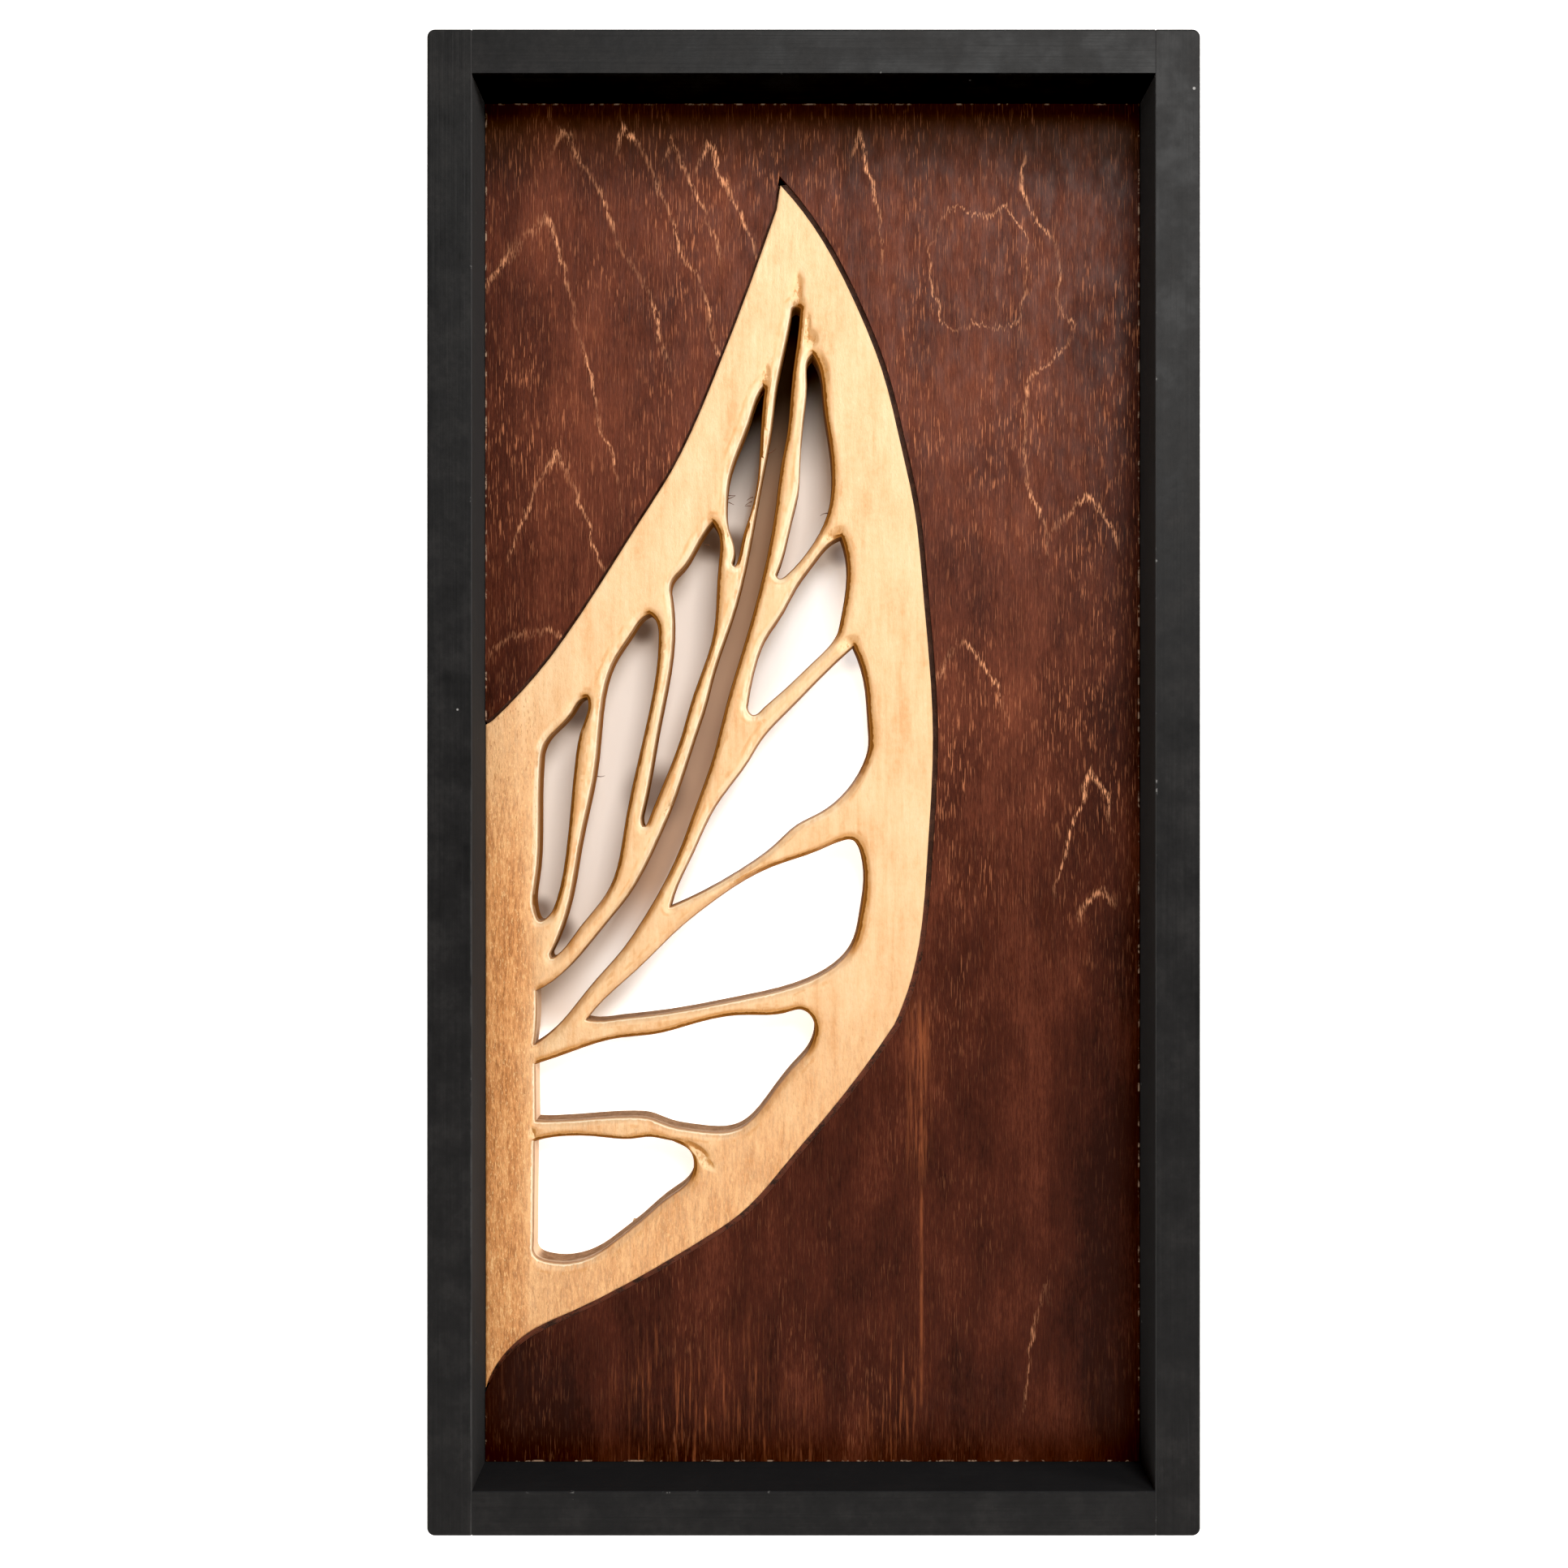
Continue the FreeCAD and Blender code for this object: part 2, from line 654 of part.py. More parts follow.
def make_bumper(name, side, end):
    body = new_body(name)
    face = new_sketch(body, "face", "XZ_Plane")
    draw_circle(face, "edge", "sizes.bumper_radius")
    add_pad(body, face, "sizes.bumper_height")
    add_fillet(body, "round", "sizes.bumper_round", lambda edge: abs(edge.CenterOfMass.y) < 1e-6)
    place(body, f"{side} * {STILE_CENTRE}", "0", f"{end} * (sizes.frame_height / 2 - sizes.bumper_inset)")
    return body


# ---- screws and plugs ----


def make_cylinder(name, radius, height, base="0"):
    cylinder = doc.addObject("Part::Cylinder", name)
    cylinder.setExpression("Radius", radius)
    cylinder.setExpression("Height", height)
    cylinder.setExpression("Placement.Base.z", base)
    return cylinder


def make_screw(name, size, head_height, countersunk):
    """Screw along Z with the top of its head at the origin, driven by the sheet's cells of that size."""
    shank = f"sizes.{size}_shank / 2"
    head = f"sizes.{size}_head / 2"
    length = f"sizes.{size}_length"
    point = f"sizes.{size}_shank"
    stem_length = f"{length} - {point} - ({head_height})"
    stem = make_cylinder(f"{name}_stem", shank, stem_length, f"{point} - {length}")
    tip = doc.addObject("Part::Cone", f"{name}_tip")
    tip.setExpression("Radius1", f"{shank} / 8")
    tip.setExpression("Radius2", shank)
    tip.setExpression("Height", point)
    tip.setExpression("Placement.Base.z", f"-{length}")
    if countersunk:
        top = doc.addObject("Part::Cone", f"{name}_top")
        top.setExpression("Radius1", shank)
        top.setExpression("Radius2", head)
        top.setExpression("Height", head_height)
        top.setExpression("Placement.Base.z", f"-({head_height})")
    else:
        disc = make_cylinder(f"{name}_disc", head, head_height, f"-({head_height})")
        doc.recompute()
        top = doc.addObject("Part::Fillet", f"{name}_top")
        top.Base = disc
        rounding = evaluate(head_height) / 2
        rim = [i for i, edge in enumerate(disc.Shape.Edges, start=1) if edge.CenterOfMass.z > -1e-6]
        top.Edges = [(i, rounding, rounding) for i in rim]
    solid = doc.addObject("Part::MultiFuse", f"{name}_solid")
    solid.Shapes = [stem, tip, top]
    slots = []
    for turn in (0, 90):
        slot = doc.addObject("Part::Box", f"{name}_slot_{turn}")
        slot.setExpression("Length", f"{head} * 1.2")
        slot.setExpression("Width", f"{head} * 0.24")
        slot.setExpression("Height", f"({head_height}) * 0.7")
        middle = FreeCAD.Vector(evaluate(f"{head} * 0.6"), evaluate(f"{head} * 0.12"), 0)
        spin = FreeCAD.Rotation(FreeCAD.Vector(0, 0, 1), turn)
        slot.Placement = FreeCAD.Placement(spin.multVec(-middle), spin)
        slot.setExpression("Placement.Base.z", f"-({head_height}) * 0.7")
        slots.append(slot)
    cross = doc.addObject("Part::MultiFuse", f"{name}_cross")
    cross.Shapes = slots
    screw = doc.addObject("Part::Cut", name)
    screw.Base = solid
    screw.Tool = cross
    doc.recompute()
    return screw


def repeat(name, master, outward, places):
    """Group of copies of a piece that is drawn along Z, each turned so that its head looks outward."""
    links = []
    for index, (x, y, z) in enumerate(places):
        link = doc.addObject("App::Link", f"{name}_{index + 1}")
        link.LinkedObject = master
        turn = FreeCAD.Rotation(FreeCAD.Vector(0, 0, 1), FreeCAD.Vector(*outward(x)))
        link.Placement = FreeCAD.Placement(FreeCAD.Vector(x, y, z), turn)
        links.append(link)
    group = doc.addObject("Part::Compound", name)
    group.Label = name
    group.Links = links
    doc.recompute()
    return group


def to_back(x):
    return (0, 1, 0)


def to_side(x):
    return (math.copysign(1, x), 0, 0)


def make_fasteners():
    sunk = SIZES["frame_width"] / 2 - SIZES["plug_length"]
    level = evaluate(RAIL_LEVEL)
    frame_back = evaluate(FRAME_BACK)
    depths = [frame_back - SIZES["corner_screw_back"], frame_back - SIZES["corner_screw_front"]]
    corners = [(side * sunk, y, end * level) for side in (-1, 1) for end in (-1, 1) for y in depths]

    corner_screw = make_screw("corner_screw", "corner", "sizes.corner_head_height", False)
    plug = make_cylinder("corner_plug", "sizes.plug_diameter / 2 - sizes.fit_gap", "sizes.plug_length")
    groups = [repeat("corner_screws", corner_screw, to_side, corners)]
    groups.append(repeat("corner_plugs", plug, to_side, corners))

    sunk_head = "(sizes.small_head - sizes.small_shank) / 2"
    small_screw = make_screw("small_screw", "small", sunk_head, True)
    cleat_back = evaluate(CLEAT_BACK)
    cleat_places = [(x, cleat_back, z) for name in CLEAT_SCREWS for x, z in cleat_holes(name)]
    groups.append(repeat("cleat_screws", small_screw, to_back, cleat_places))
    splint_back = evaluate(SPLINT_BACK)
    splint_places = [(x, splint_back, z) for name in SPLINTS for x, z in splint_holes(name)]
    groups.append(repeat("splint_screws", small_screw, to_back, splint_places))

    hanger_screw = make_screw("hanger_screw", "hanger", "sizes.hanger_head_height", False)
    stile = evaluate(STILE_CENTRE)
    head = frame_back + SIZES["strap_thickness"] + SIZES["hanger_head_height"]
    hanger_places = [
        (side * stile, head, SIZES["hanger_height"] - SIZES[drop])
        for side in (-1, 1)
        for drop in ("strap_screw_upper", "strap_screw_lower")
    ]
    groups.append(repeat("hanger_screws", hanger_screw, to_back, hanger_places))
    return groups


def make_all():
    pieces = [make_stile("stile_left", -1), make_stile("stile_right", 1)]
    pieces += [make_rail("rail_top", 1), make_rail("rail_bottom", -1)]
    pieces += [make_panel(), make_wing()]
    pieces += make_cleats()
    pieces += make_splints()
    for hand, side in (("left", -1), ("right", 1)):
        pieces.append(make_strap(f"hanger_strap_{hand}", side))
        pieces.append(make_ring(f"hanger_ring_{hand}", side))
        for level, end in (("upper", 1), ("lower", -1)):
            pieces.append(make_bumper(f"bumper_{level}_{hand}", side, end))
    pieces += make_fasteners()
    return pieces


pieces = make_all()
doc.recompute()
for item in doc.Objects:
    if "Invalid" in item.State or "Error" in item.State:
        raise RuntimeError(f"{item.Name} failed: {item.State}")
for piece in pieces:
    if piece.Shape.isNull() or not piece.Shape.isValid():
        raise RuntimeError(f"{piece.Label} has no valid shape")

os.makedirs("parts", exist_ok=True)
for piece in pieces:
    piece.Shape.exportStep(f"parts/{piece.Label}.step")
    print(f"{piece.Label}: {len(piece.Shape.Solids)} solid(s), {piece.Shape.Volume / 1000:.2f} cm3")
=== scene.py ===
import math

import bpy
import numpy as np
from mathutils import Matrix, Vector, geometry, kdtree, noise


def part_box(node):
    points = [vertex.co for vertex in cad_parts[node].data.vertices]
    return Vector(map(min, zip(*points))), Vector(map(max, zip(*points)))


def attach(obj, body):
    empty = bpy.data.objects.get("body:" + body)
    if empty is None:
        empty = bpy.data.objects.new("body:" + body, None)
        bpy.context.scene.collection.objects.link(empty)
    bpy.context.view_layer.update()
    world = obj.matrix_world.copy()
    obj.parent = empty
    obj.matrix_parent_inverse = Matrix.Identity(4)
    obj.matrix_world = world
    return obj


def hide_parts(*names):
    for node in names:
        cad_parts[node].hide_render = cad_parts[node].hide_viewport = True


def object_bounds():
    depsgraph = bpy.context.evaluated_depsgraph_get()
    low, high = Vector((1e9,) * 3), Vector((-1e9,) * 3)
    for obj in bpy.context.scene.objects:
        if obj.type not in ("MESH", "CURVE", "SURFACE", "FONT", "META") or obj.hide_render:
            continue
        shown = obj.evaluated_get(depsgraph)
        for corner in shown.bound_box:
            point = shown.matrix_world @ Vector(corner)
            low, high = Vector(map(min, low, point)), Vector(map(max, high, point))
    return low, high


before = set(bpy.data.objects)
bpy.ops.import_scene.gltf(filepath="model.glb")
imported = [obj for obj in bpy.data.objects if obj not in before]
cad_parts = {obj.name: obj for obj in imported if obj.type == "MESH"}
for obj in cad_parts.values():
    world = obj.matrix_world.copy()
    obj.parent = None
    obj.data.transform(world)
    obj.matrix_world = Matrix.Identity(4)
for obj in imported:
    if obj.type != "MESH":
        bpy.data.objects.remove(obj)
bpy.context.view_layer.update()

MM = 0.001
FRONT_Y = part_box("wing")[0][1] / MM
# Grain this many millimetres long into a board doesn't change from its face to its back. The wing's is
# shorter, because it is seen on the walls of the openings too.
THROUGH = 400
INWARD = 60
PLY = 0.8
# sockets of a Mix node when it mixes colours
COLOUR_A, COLOUR_B, COLOUR_OUT = 6, 7, 2


# ---------------------------------------------------------------- materials

class Finish:
    """A material under construction. Most methods add a node and return its output socket."""

    def __init__(self, name):
        self.material = bpy.data.materials.new(name)
        self.material.use_nodes = True
        self.tree = self.material.node_tree
        self.shader = self.tree.nodes["Principled BSDF"]
        metres = self.add("ShaderNodeTexCoord").outputs["Object"]
        # position in the piece's own frame, in millimetres
        self.point = self.vector("MULTIPLY", metres, (1 / MM, 1 / MM, 1 / MM))
        split = self.add("ShaderNodeSeparateXYZ")
        self.link(self.point, split.inputs[0])
        self.x, self.y, self.z = split.outputs

    def add(self, kind, **settings):
        node = self.tree.nodes.new(kind)
        for key, value in settings.items():
            setattr(node, key, value)
        return node

    def link(self, source, socket):
        """Feeds a socket from another socket, or sets it to a plain value."""
        if isinstance(source, bpy.types.NodeSocket):
            self.tree.links.new(source, socket)
        elif source is not None:
            socket.default_value = source

    def vector(self, operation, a, b=None):
        node = self.add("ShaderNodeVectorMath", operation=operation)
        self.link(a, node.inputs[0])
        if b is not None:
            self.link(b, node.inputs[1])
        return node.outputs["Value" if operation in ("LENGTH", "DOT_PRODUCT") else "Vector"]

    def math(self, operation, a, b=None):
        node = self.add("ShaderNodeMath", operation=operation)
        self.link(a, node.inputs[0])
        if b is not None:
            self.link(b, node.inputs[1])
        return node.outputs[0]

    def add_up(self, *values):
        total = values[0]
        for value in values[1:]:
            total = self.math("ADD", total, value)
        return total

    def times(self, *values):
        total = values[0]
        for value in values[1:]:
            total = self.math("MULTIPLY", total, value)
        return total

    def grade(self, value, low, high, out_low=0.0, out_high=1.0):
        """Maps low..high to out_low..out_high along a smooth step, and holds it there outside."""
        node = self.add("ShaderNodeMapRange", interpolation_type="SMOOTHSTEP")
        for socket, amount in zip(node.inputs, (value, low, high, out_low, out_high)):
            self.link(amount, socket)
        return node.outputs[0]

    def within(self, value, centre, reach, soft):
        """1 where value lies within reach of centre, falling to 0 over soft more."""
        away = self.math("ABSOLUTE", self.math("SUBTRACT", value, centre))
        return self.grade(away, reach, reach + soft, 1.0, 0.0)

    def noise(self, size, detail=3.0, rough=0.55, vector=None, distortion=0.0):
        """Noise whose grain is about size millimetres, given once or per axis."""
        per_axis = size if isinstance(size, tuple) else (size, size, size)
        scaled = self.vector("DIVIDE", vector or self.point, per_axis)
        node = self.add("ShaderNodeTexNoise")
        self.link(scaled, node.inputs["Vector"])
        self.link(1.0, node.inputs["Scale"])
        self.link(detail, node.inputs["Detail"])
        self.link(rough, node.inputs["Roughness"])
        self.link(distortion, node.inputs["Distortion"])
        return node.outputs["Fac"]

    def cells(self, size):
        """Outputs of a pattern of cells about size millimetres wide."""
        node = self.add("ShaderNodeTexVoronoi")
        self.link(self.vector("DIVIDE", self.point, (size, size, size)), node.inputs["Vector"])
        self.link(1.0, node.inputs["Scale"])
        return node.outputs

    def ramp(self, value, *stops):
        node = self.add("ShaderNodeValToRGB")
        elements = node.color_ramp.elements
        while len(elements) < len(stops):
            elements.new(0.5)
        for element, (place, colour) in zip(elements, stops):
            element.position = place
            element.color = (*colour, 1)
        self.link(value, node.inputs[0])
        return node.outputs["Color"]

    def mix(self, factor, a, b):
        """Colour a where factor is 0 and b where it is 1."""
        node = self.add("ShaderNodeMix", data_type="RGBA")
        self.link(factor, node.inputs["Factor"])
        for socket, colour in ((COLOUR_A, a), (COLOUR_B, b)):
            self.link((*colour, 1) if isinstance(colour, tuple) else colour, node.inputs[socket])
        return node.outputs[COLOUR_OUT]

    def bump(self, height, distance, strength=1.0, under=None):
        """Relief of distance millimetres, on top of the relief under it."""
        node = self.add("ShaderNodeBump")
        self.link(strength, node.inputs["Strength"])
        self.link(distance * MM, node.inputs["Distance"])
        self.link(height, node.inputs["Height"])
        if under:
            self.link(under, node.inputs["Normal"])
        return node.outputs["Normal"]

    def normal_part(self, axis):
        """One component of the surface normal, before any bump."""
        split = self.add("ShaderNodeSeparateXYZ")
        self.link(self.add("ShaderNodeTexCoord").outputs["Normal"], split.inputs[0])
        return split.outputs[axis]

    def attribute(self, name):
        return self.add("ShaderNodeAttribute", attribute_name=name).outputs["Fac"]

    def finish(self, colour, rough, normal=None, metallic=0.0, specular=0.5):
        """Joins the shader's main sockets and returns the material."""
        shader = self.shader.inputs
        self.link(colour, shader["Base Color"])
        self.link(rough, shader["Roughness"])
        self.link(metallic, shader["Metallic"])
        self.link(specular, shader["Specular IOR Level"])
        if normal:
            self.link(normal, shader["Normal"])
        return self.material


def black_paint(name, along, half_width, half_height, front):
    """Satin black brushed on wood, grey with wear along the front inner arris, with a painted highlight on
    the left stile's lower arris, painted light on the side walls of the recess and painted shade under the
    top rail.
    """
    f = Finish(name)
    stroke = (90, 1.1, 1.1) if along == "x" else (1.1, 1.1, 90)
    brushed = f.noise(stroke, 3, 0.6)
    mottle = f.noise(16, 4, 0.6)
    dust = f.noise(2.2, 3, 0.7)
    tone = f.add_up(f.times(mottle, 0.6), f.times(brushed, 0.25), f.times(dust, 0.25))
    colour = f.ramp(tone, (0.38, (0.0050, 0.0050, 0.0051)), (0.55, (0.0090, 0.0087, 0.0087)),
                    (0.72, (0.0170, 0.0160, 0.0155)))
    across = f.x if along == "z" else f.z
    half = half_width if along == "z" else half_height
    away = f.math("ABSOLUTE", f.math("SUBTRACT", f.math("ABSOLUTE", across), half))
    depth = f.math("SUBTRACT", f.y, front)
    arris = f.times(f.grade(away, 0.25, 0.9, 1, 0), f.grade(depth, 0.3, 1.1, 1, 0))
    arris_wear_and_highlight = f.times(arris, f.grade(f.noise((7, 7, 9), 4, 0.75), 0.64, 0.70))
    if along == "z":
        # a painted highlight along the left stile's arris, on its lower part
        lower_arris_highlight = f.times(f.grade(f.x, 0.0, -1.0), f.grade(f.z, 60, -60),
                           f.grade(f.noise(14, 4, 0.7), 0.36, 0.6))
        arris_wear_and_highlight = f.math("MAXIMUM", arris_wear_and_highlight, f.times(arris, lower_arris_highlight, 0.13))
    speck = f.times(f.grade(f.cells(14)["Distance"], 0.05, 0.032),
                    f.grade(f.noise(31, 1), 0.56, 0.6))
    marks = f.math("MAXIMUM", f.times(arris_wear_and_highlight, 0.7), f.times(speck, 0.8))
    colour = f.mix(marks, colour, (0.34, 0.33, 0.32))
    # the walls of the recess are dull, with painted light on the side walls and painted shade, near black,
    # under the top rail
    if along == "z":
        recess_light_and_shade = (0.050, 0.049, 0.049)
    else:
        recess_light_and_shade = f.mix(f.grade(f.z, 1, -1), (0.004, 0.004, 0.004), (0.020, 0.020, 0.021))
    inward = f.grade(f.times(f.normal_part(0 if along == "z" else 2), across), -20, -60)
    rough = f.math("MAXIMUM", f.grade(mottle, 0.3, 0.7, 0.4, 0.56), f.times(inward, 0.85))
    colour = f.mix(f.times(inward, 0.75), colour, recess_light_and_shade)
    relief = f.bump(brushed, 0.16, 0.5)
    relief = f.bump(f.noise(0.9, 3, 0.6), 0.05, 0.5, relief)
    relief = f.bump(f.noise((7, 7, 7), 2), 0.35, 0.35, relief)
    return f.finish(colour, rough, relief, specular=f.grade(inward, 0.0, 1.0, 0.14, 0.015))


# Lines of the panel's cathedral figure, in millimetres. An arch has its peak at (x, z), falls by the given
# amounts 20 mm to the left and to the right of it, and stops at its reach on each side.
ARCH_SIDE = 20
ARCHES = (
    # x, z, fall to the left, fall to the right, reach to the left, reach to the right
    (-111, 234.6, 23, 69, 24, 31),
    (-107, 134.5, 44, 40, 17, 23),
    (-108, 64, 7, 22, 24, 12),
    (-105.4, 270.4, 60, 34, 2, 46),
    (-78, 271.8, 60, 40, 2, 42),
    (-58.3, 265.5, 60, 45, 2, 19),
    (-43, 264.5, 60, 48, 2, 17),
    (20, 268, 60, 105, 1, 9),
    (113.5, 119, 20, 34, 17, 12),
    (64, 59, 26, 40, 17, 14),
    (116, 5, 75, 60, 12, 9),
    (120.5, -44, 22, 30, 9, 3),
    (98, -210, 100, 60, 9, 0),
)
# The closed line, a square with rounded corners: x, z, half width, half height, sharpness of its corners
KNOT = (69, 213, 18.5, 26, 3.4)
# The long line that wanders down the right-hand side; a colour ramp holds its x as a share of a span
MEANDER_LEFT, MEANDER_SPAN = 80, 40
MEANDER = (
    # z, x
    (97, 97), (103, 91), (141, 88.5), (163, 89.5), (170, 93), (184, 105.5), (194, 109.5), (212, 101.5),
    (221, 103), (241, 97), (258, 87),
)


def arch_lines(f, px, pz):
    """1 on the figure's arches, at the place (px, pz)."""
    lines = None
    for x, z, fall_left, fall_right, reach_left, reach_right in ARCHES:
        dx = f.math("SUBTRACT", px, x)
        left = f.math("POWER", f.math("MAXIMUM", f.times(dx, -1 / ARCH_SIDE), 0.0), 1.2)
        right = f.math("POWER", f.math("MAXIMUM", f.times(dx, 1 / ARCH_SIDE), 0.0), 1.2)
        drop = f.add_up(f.times(left, fall_left), f.times(right, fall_right))
        above = f.math("SUBTRACT", f.math("ADD", pz, drop), z)
        steep = max(fall_left, fall_right) / ARCH_SIDE
        line = f.within(above, 0.0, 0.2, 0.7 + 0.8 * steep)
        line = f.times(line, f.grade(dx, -reach_left - 4, -reach_left + 2),
                       f.grade(dx, reach_right + 4, reach_right - 2))
        lines = line if lines is None else f.math("MAXIMUM", lines, line)
    return lines


def knot_line(f, px, pz):
    """1 on the closed line: a square with rounded corners, pinched in above and below."""
    x, z, half_width, half_height, corner = KNOT
    dx = f.math("DIVIDE", f.math("SUBTRACT", px, x), half_width)
    dz = f.math("DIVIDE", f.math("SUBTRACT", pz, z), half_height)
    aside, aloft = (f.math("POWER", f.math("ABSOLUTE", part), corner) for part in (dx, dz))
    ring = f.math("POWER", f.math("ADD", aside, aloft), 1 / corner)
    uneven = f.times(f.math("SUBTRACT", f.noise((11, THROUGH, 14), 1), 0.5), 0.5)
    pinch = f.times(f.within(dx, 0.0, 0.05, 0.5), f.grade(f.math("ABSOLUTE", dz), 0.3, 0.8), 0.16)
    return f.within(f.add_up(ring, uneven, pinch), 1.0, 0.006, 0.035)


def meander_line(f, px, pz):
    """1 on the long line that wanders down the right-hand side."""
    low, high = MEANDER[0][0], MEANDER[-1][0]
    stops = [((z - low) / (high - low), ((x - MEANDER_LEFT) / MEANDER_SPAN,) * 3) for z, x in MEANDER]
    share = f.ramp(f.grade(pz, low, high), *stops)
    track = f.math("ADD", f.times(share, MEANDER_SPAN), MEANDER_LEFT)
    return f.times(f.within(f.math("SUBTRACT", px, track), 0.0, 0.2, 0.9),
                   f.grade(pz, low - 3, low), f.grade(f.z, high + 5, high))


def stained_plywood(name):
    """Red-brown stain on plywood: open pores catch the light, the figure shows as feathery lines, and
    painted shade lies under the top rail and beside the stiles.
    """
    f = Finish(name)
    wobble = f.times(f.math("SUBTRACT", f.noise((13, THROUGH, 30), 3, 0.6), 0.5), 9)
    jag = f.times(f.math("SUBTRACT", f.noise((0.9, THROUGH, 26), 2, 0.6), 0.5), 12)
    drift = f.times(f.math("SUBTRACT", f.noise((60, THROUGH, 24), 2), 0.5), 14)
    px = f.math("ADD", f.x, drift)
    pz = f.add_up(f.z, wobble, jag)
    lines = f.math("MAXIMUM", arch_lines(f, px, pz), f.times(knot_line(f, px, pz), 0.8))
    lines = f.math("MAXIMUM", lines, meander_line(f, px, pz))
    # pores: short upright dashes in crowds, shifted so they form no rows; few at the lower right
    shift = f.vector("MULTIPLY", f.noise((2.5, THROUGH, 60), 1), (0, 0, 14))
    fine = f.noise((0.5, THROUGH, 9), 2, 0.55, f.vector("ADD", f.point, shift))
    dashes = f.grade(fine, 0.58, 0.64)
    crowd = f.grade(f.noise((34, THROUGH, 55), 3, 0.6), 0.42, 0.7)
    plain = f.times(f.grade(f.x, 50, 115), f.grade(f.z, -20, -120))
    pores = f.times(dashes, f.add_up(f.times(crowd, 0.46), 0.14), f.grade(f.z, -150, 20, 0.28, 1.0),
                    f.grade(f.z, 250, 276, 1.0, 0.4), f.grade(plain, 0.0, 1.0, 1.0, 0.3))
    feather = f.times(lines, f.grade(f.noise((0.5, THROUGH, 4), 2, 0.6), 0.44, 0.56))
    feather = f.times(feather, f.grade(f.noise(22, 2), 0.38, 0.6, 0.2, 1.0),
                      f.grade(f.z, -200, -20, 0.5, 1.0))
    corner = f.times(f.grade(f.x, -66, -128), f.grade(f.z, -190, -250))
    # brighter upright streaks where the stain was wiped thin, near the foot but not in its left corner
    wiped = f.times(f.grade(f.noise((1.6, THROUGH, 34), 4, 0.7), 0.50, 0.70), f.grade(f.z, -205, -258),
                    f.grade(f.noise((40, THROUGH, 90), 1), 0.40, 0.56),
                    f.grade(corner, 0.0, 0.8, 1.0, 0.15), f.grade(f.x, 42, 54, 1.0, 0.15))
    rubbed = f.times(f.grade(f.noise((1.6, THROUGH, 40), 3, 0.6), 0.44, 0.60), f.within(f.x, 44, 1, 6),
                     f.within(f.z, -128, 22, 22))
    scratch = f.times(f.within(f.x, 45.2, 0.2, 0.8), f.grade(f.z, -262, -255), f.grade(f.z, -110, -130),
                      f.grade(f.noise((4, THROUGH, 16), 3, 0.6), 0.35, 0.62, 0.15, 0.7))
    wiped = f.math("MAXIMUM", wiped, f.math("MAXIMUM", f.times(rubbed, 0.8), scratch))
    # ground: painted shade under the top rail and beside the stiles, darker to the bottom and the lower
    # left corner, streaked upright
    shade_under_rail = f.grade(f.z, 236, 284)
    shade_beside_stiles = f.math("MAXIMUM", f.grade(f.x, 92, 137), f.grade(f.x, -112, -139, 0.0, 0.9))
    edge_z = f.grade(f.z, 120, -250)
    blotch = f.noise((26, THROUGH, 60), 4, 0.6)
    streak = f.noise((1.5, THROUGH, 70), 3, 0.65)
    mottle = f.noise((0.6, THROUGH, 5), 4, 0.75)
    tone = f.add_up(f.times(blotch, 0.5), f.times(streak, 0.18), f.times(mottle, 0.45), -0.055,
                    f.times(shade_beside_stiles, -0.13), f.times(edge_z, -0.13), f.times(shade_under_rail, -0.22),
                    f.times(corner, -0.14))
    ground = f.ramp(tone, (0.26, (0.018, 0.0036, 0.0014)), (0.42, (0.052, 0.0112, 0.0048)),
                    (0.56, (0.112, 0.0275, 0.0125)), (0.72, (0.200, 0.054, 0.024)))
    ground = f.mix(f.times(wiped, 0.75), ground, (0.270, 0.076, 0.026))
    # a deeper painted shade under the top rail, where the sheen is also lowered
    ground = f.mix(f.times(shade_under_rail, 0.5), ground, (0.034, 0.0135, 0.0050))
    colour = f.mix(pores, ground, (0.62, 0.22, 0.095))
    colour = f.mix(feather, colour, (0.70, 0.30, 0.145))
    # the stain is chipped along the panel's edges
    edge_right, edge_upper = (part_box("panel")[1][axis] / MM for axis in (0, 2))
    from_edge = f.math("MINIMUM", f.math("SUBTRACT", edge_right, f.math("ABSOLUTE", f.x)),
                       f.math("SUBTRACT", edge_upper, f.math("ABSOLUTE", f.z)))
    chipped = f.times(f.grade(from_edge, 0.8, 0.3), f.grade(f.noise((8, THROUGH, 8), 4, 0.7), 0.52, 0.60))
    colour = f.mix(f.times(chipped, 0.8), colour, (0.42, 0.27, 0.18))
    dark_pore = f.grade(f.noise((0.45, THROUGH, 9), 2, 0.5), 0.40, 0.28)
    colour = f.mix(f.times(dark_pore, 0.5), colour, (0.018, 0.006, 0.004))
    # the stain ran over the edges of the back and soaked in unevenly; the back itself is bare
    at_back = f.math("SUBTRACT", f.normal_part(1), f.times(f.noise(9, 4), 0.001))
    bare = f.grade(at_back, 0.5, 0.9)
    colour = f.mix(bare, colour, veneer(f))
    rough = f.grade(f.noise((5, THROUGH, 12), 3), 0.3, 0.7, 0.38, 0.55)
    relief = f.bump(fine, 0.09, 0.6)
    relief = f.bump(f.noise((1.1, THROUGH, 24), 3, 0.6), 0.12, 0.5, relief)
    return f.finish(colour, rough, relief, specular=f.grade(shade_under_rail, 0.0, 1.0, 0.085, 0.02))


def veneer(f):
    """Colour of bare face veneer with upright grain."""
    tone = f.add_up(f.times(f.noise((9, THROUGH, 90), 3), 0.5),
                    f.times(f.noise((0.9, THROUGH, 30), 2), 0.5))
    return f.ramp(tone, (0.3, (0.42, 0.25, 0.12)), (0.6, (0.58, 0.39, 0.21)), (0.8, (0.66, 0.47, 0.28)))


